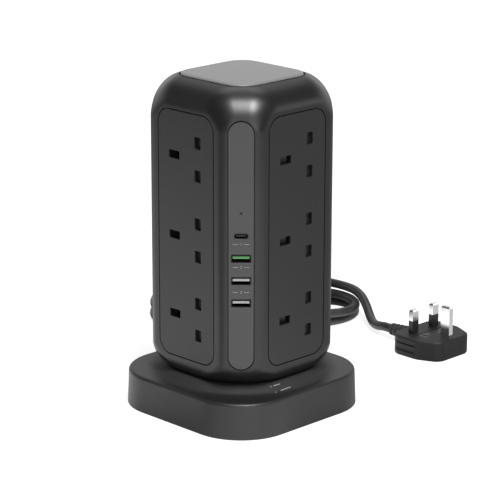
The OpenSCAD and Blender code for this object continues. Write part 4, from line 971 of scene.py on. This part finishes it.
for i, (start, end) in enumerate(MARKS):
    mark_rings = []
    for k in range(MARK_RINGS + 1):
        x, y = Vector(start).lerp(Vector(end), k / MARK_RINGS)
        west, east = x - MARK_W / 2, x + MARK_W / 2
        mark_rings.append([on_flare(west, y, INK_OVER), on_flare(east, y, INK_OVER),
                           on_flare(east, y, -MARK_SUNK), on_flare(west, y, -MARK_SUNK)])
    mark = skin(f"lamp_mark_{i}", mark_rings, print_grey, smooth=0)
    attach(mark, "base")


# Floor plate, neck, base cover and feet
# The tower's floor plate, the tube that joins it to the base, and the cover under
# the base are charcoal mouldings held by screws; the feet are moulded soft rubber.

dress(charcoal_base, "tower_floor", "neck_tube", "base_cover")
dress(rubber, "rubber_feet")


# Carriers, centre frame and terminal block
# Stiff inner mouldings that the sockets are built on: dark carriers behind the
# plates, and an ivory frame and terminal block of heat-proof plastic.

ivory = moulded("ivory_moulding", (0.55, 0.54, 0.5), 0.5, grain=1800.0, spread=0.05)
dark_inside = moulded("dark_moulding", (0.022, 0.022, 0.022), 0.5, grain=1800.0, spread=0.1)
dress(dark_inside, *[f"carrier_{side}" for side in SIDES])
dress(ivory, "centre_frame", "terminal_block")


# Shutters
# Small black sliders behind the slots, moulded with a ramp for the earth pin; each
# covers line and neutral.

shutter_black = moulded("shutter_black", (0.012, 0.012, 0.012), 0.45, grain=1800.0, spread=0.15)
dress(shutter_black, *[name for name in nodes if name.startswith("shutter_") and name != "shutter_springs"])


# Springs, ballast and screws
# Wound, cut and turned steel with a zinc plating: the shutters' return springs, the
# weight in the base, and the screws of tower and base.

zinc, place = material("zinc_steel", (0.52, 0.52, 0.52), 0.4, metallic=1.0)
spangle = place.noise(240.0, 3.0)
feed(zinc,
     Base_Color=spangle.step(0.3, 0.7).mix((0.42, 0.43, 0.44), (0.62, 0.62, 0.61)),
     Roughness=spangle * 0.3 + 0.25,
     Normal=bump(spangle, 0.1, 0.00002))
dress(zinc, "shutter_springs", "ballast_plate", "tower_screws", "base_screws")


# Contacts and switch blades
# Strips and springs stamped and folded from brass, a little stained, behind the
# slots of the sockets and in the master switch.

brass, place = material("stamped_brass", (0.75, 0.55, 0.25), 0.32, metallic=1.0)
stain = place.noise(300.0, 3.0)
feed(brass,
     Base_Color=stain.step(0.3, 0.7).mix((0.6, 0.42, 0.18), (0.82, 0.63, 0.32)),
     Roughness=stain * 0.3 + 0.2,
     Normal=bump(stain, 0.1, 0.00001))
dress(brass, "earth_contacts", "line_contacts", "neutral_contacts", "switch_blades")


# Circuit boards
# Green lacquered boards with paler tracks, seated against the mouldings beside them:
# the surge board, the charger board behind the ports and the base's lamp board.

board_green, place = material("board_green", (0.02, 0.16, 0.06), 0.35, coat=0.4)
tracks = place.node("ShaderNodeTexBrick", place, ("Scale", 90.0), out=1)
dust = place.noise(500.0, 2.0)
feed(board_green,
     Base_Color=tracks.mix((0.015, 0.13, 0.05), (0.05, 0.24, 0.1)),
     Roughness=dust * 0.2 + 0.25)
dress(board_green, "surge_board", "usb_board", "lamp_board")


# Surge discs and cores of the lead
# Round discs in blue epoxy, soldered to the surge board, and the lead's inner cores
# in brown plastic insulation.

dress(moulded("disc_blue", (0.03, 0.08, 0.3), 0.3, grain=900.0), "surge_discs")
dress(moulded("core_brown", (0.14, 0.06, 0.03), 0.4, grain=900.0), "inner_leads")


# Floor
# A plain matt floor, white to the camera, that keeps the object's shadow. Soft pools
# of light on it, each with its place, reach and glow, stand for the pale table and
# cards of a studio.

FLOOR_REACH = 4000
FLOOR_SEEN = (0.8, 0.8, 0.8)
POOLS = (((0.42, -0.3, 0), 0.38, 8.5), ((0.16, -0.12, 0), 0.16, 6.6), ((-0.19, -0.16, 0), 0.25, 2.2),
         ((-0.5, -0.36, 0), 0.45, 1.1), ((0.5, -0.03, 0), 0.36, 3.6), ((0.15, 0.05, 0), 0.13, 0.6),
         ((-0.045, 0.115, 0), 0.1, 2.0))
FLOOR_GLOW = 0.07


def far_from(place, at):
    """Distance of the shaded point from a place in metres."""
    return place.node("ShaderNodeVectorMath", place, at, operation="DISTANCE", out=1)


floor_corners = [(x * FLOOR_REACH, y * FLOOR_REACH, 0) for x, y in ((-1, -1), (1, -1), (1, 1), (-1, 1))]
floor = new_piece("floor", mesh_from("floor", floor_corners, [(0, 1, 2, 3)]), None, 0)
floor_white, place = material("floor_white", (0.38, 0.38, 0.38), 0.9, specular=0.0)
seen = place.node("ShaderNodeLightPath", out="Is Camera Ray")
pool = sum(far_from(place, at).step(reach, 0.0) * glow for at, reach, glow in POOLS) + FLOOR_GLOW
feed(floor_white, Emission_Color=seen.mix(pool.mix((0, 0, 0), (1, 1, 1)), FLOOR_SEEN))
floor_white.node_tree.nodes["Principled BSDF"].inputs["Emission Strength"].default_value = 1
floor.data.materials.append(floor_white)


# Softbox
# One tall softbox high on the right of the camera, which gives the highlight on the
# tower's top corner and the soft shadow.

SOFTBOX_AT, SOFTBOX_AIM = Vector((0.74, -0.42, 1.6)), Vector((0, 0, 0.2))
SOFTBOX_W, SOFTBOX_H, SOFTBOX_POWER = 0.3, 0.8, 37
softbox = bpy.data.objects.new("softbox", bpy.data.lights.new("softbox", "AREA"))
softbox.data.shape = "RECTANGLE"
softbox.data.size = SOFTBOX_W
softbox.data.size_y = SOFTBOX_H
softbox.data.energy = SOFTBOX_POWER
softbox.location = SOFTBOX_AT
softbox.rotation_euler = (SOFTBOX_AIM - SOFTBOX_AT).to_track_quat("-Z", "Y").to_euler()
softbox.visible_camera = False
bpy.context.scene.collection.objects.link(softbox)


# Backdrop and room
# A white backdrop to the camera. What the gloss of the plastic shows of the room is a
# pale wall behind the object and three cards in front, overhead and at the side, each
# with the way to it, where it begins and its glow.

WALL_WAY, WALL_FADE, WALL_GLOW, WALL_TOP_FADE = (-0.7, 0.7, 0.0), (-0.1, 0.6), 0.85, (0.1, 0.7)
CARDS = (((0.83, -0.54, 0.15), 0.88, 2.8), ((-0.38, 0.38, 0.84), 0.9, 2.2), ((0.7, 0.7, 0.12), 0.93, 1.6))
BACKDROP, ROOM_GLOW = 1.05, 0.11
world = bpy.data.worlds.new("world")
bpy.context.scene.world = world
world.use_nodes = True
background = world.node_tree.nodes["Background"]
seen = Wire(world.node_tree).node("ShaderNodeLightPath", out="Is Camera Ray")
ray = Wire(world.node_tree).node("ShaderNodeTexCoord", out="Generated")
below_top = 1 - ray.node("ShaderNodeSeparateXYZ", ray, out=2).step(*WALL_TOP_FADE)


def towards(way):
    """How nearly the ray goes one way: 1 along it, and 0 across it."""
    return ray.node("ShaderNodeVectorMath", ray, way, operation="DOT_PRODUCT", out=1)


wall = towards(WALL_WAY).step(*WALL_FADE) * below_top * WALL_GLOW
room = wall + sum(towards(way).step(fade, 1.0) * glow for way, fade, glow in CARDS) + ROOM_GLOW
background.inputs["Color"].default_value = (1, 1, 1, 1)
world.node_tree.links.new((room + seen * (BACKDROP - room)).socket, background.inputs["Strength"])
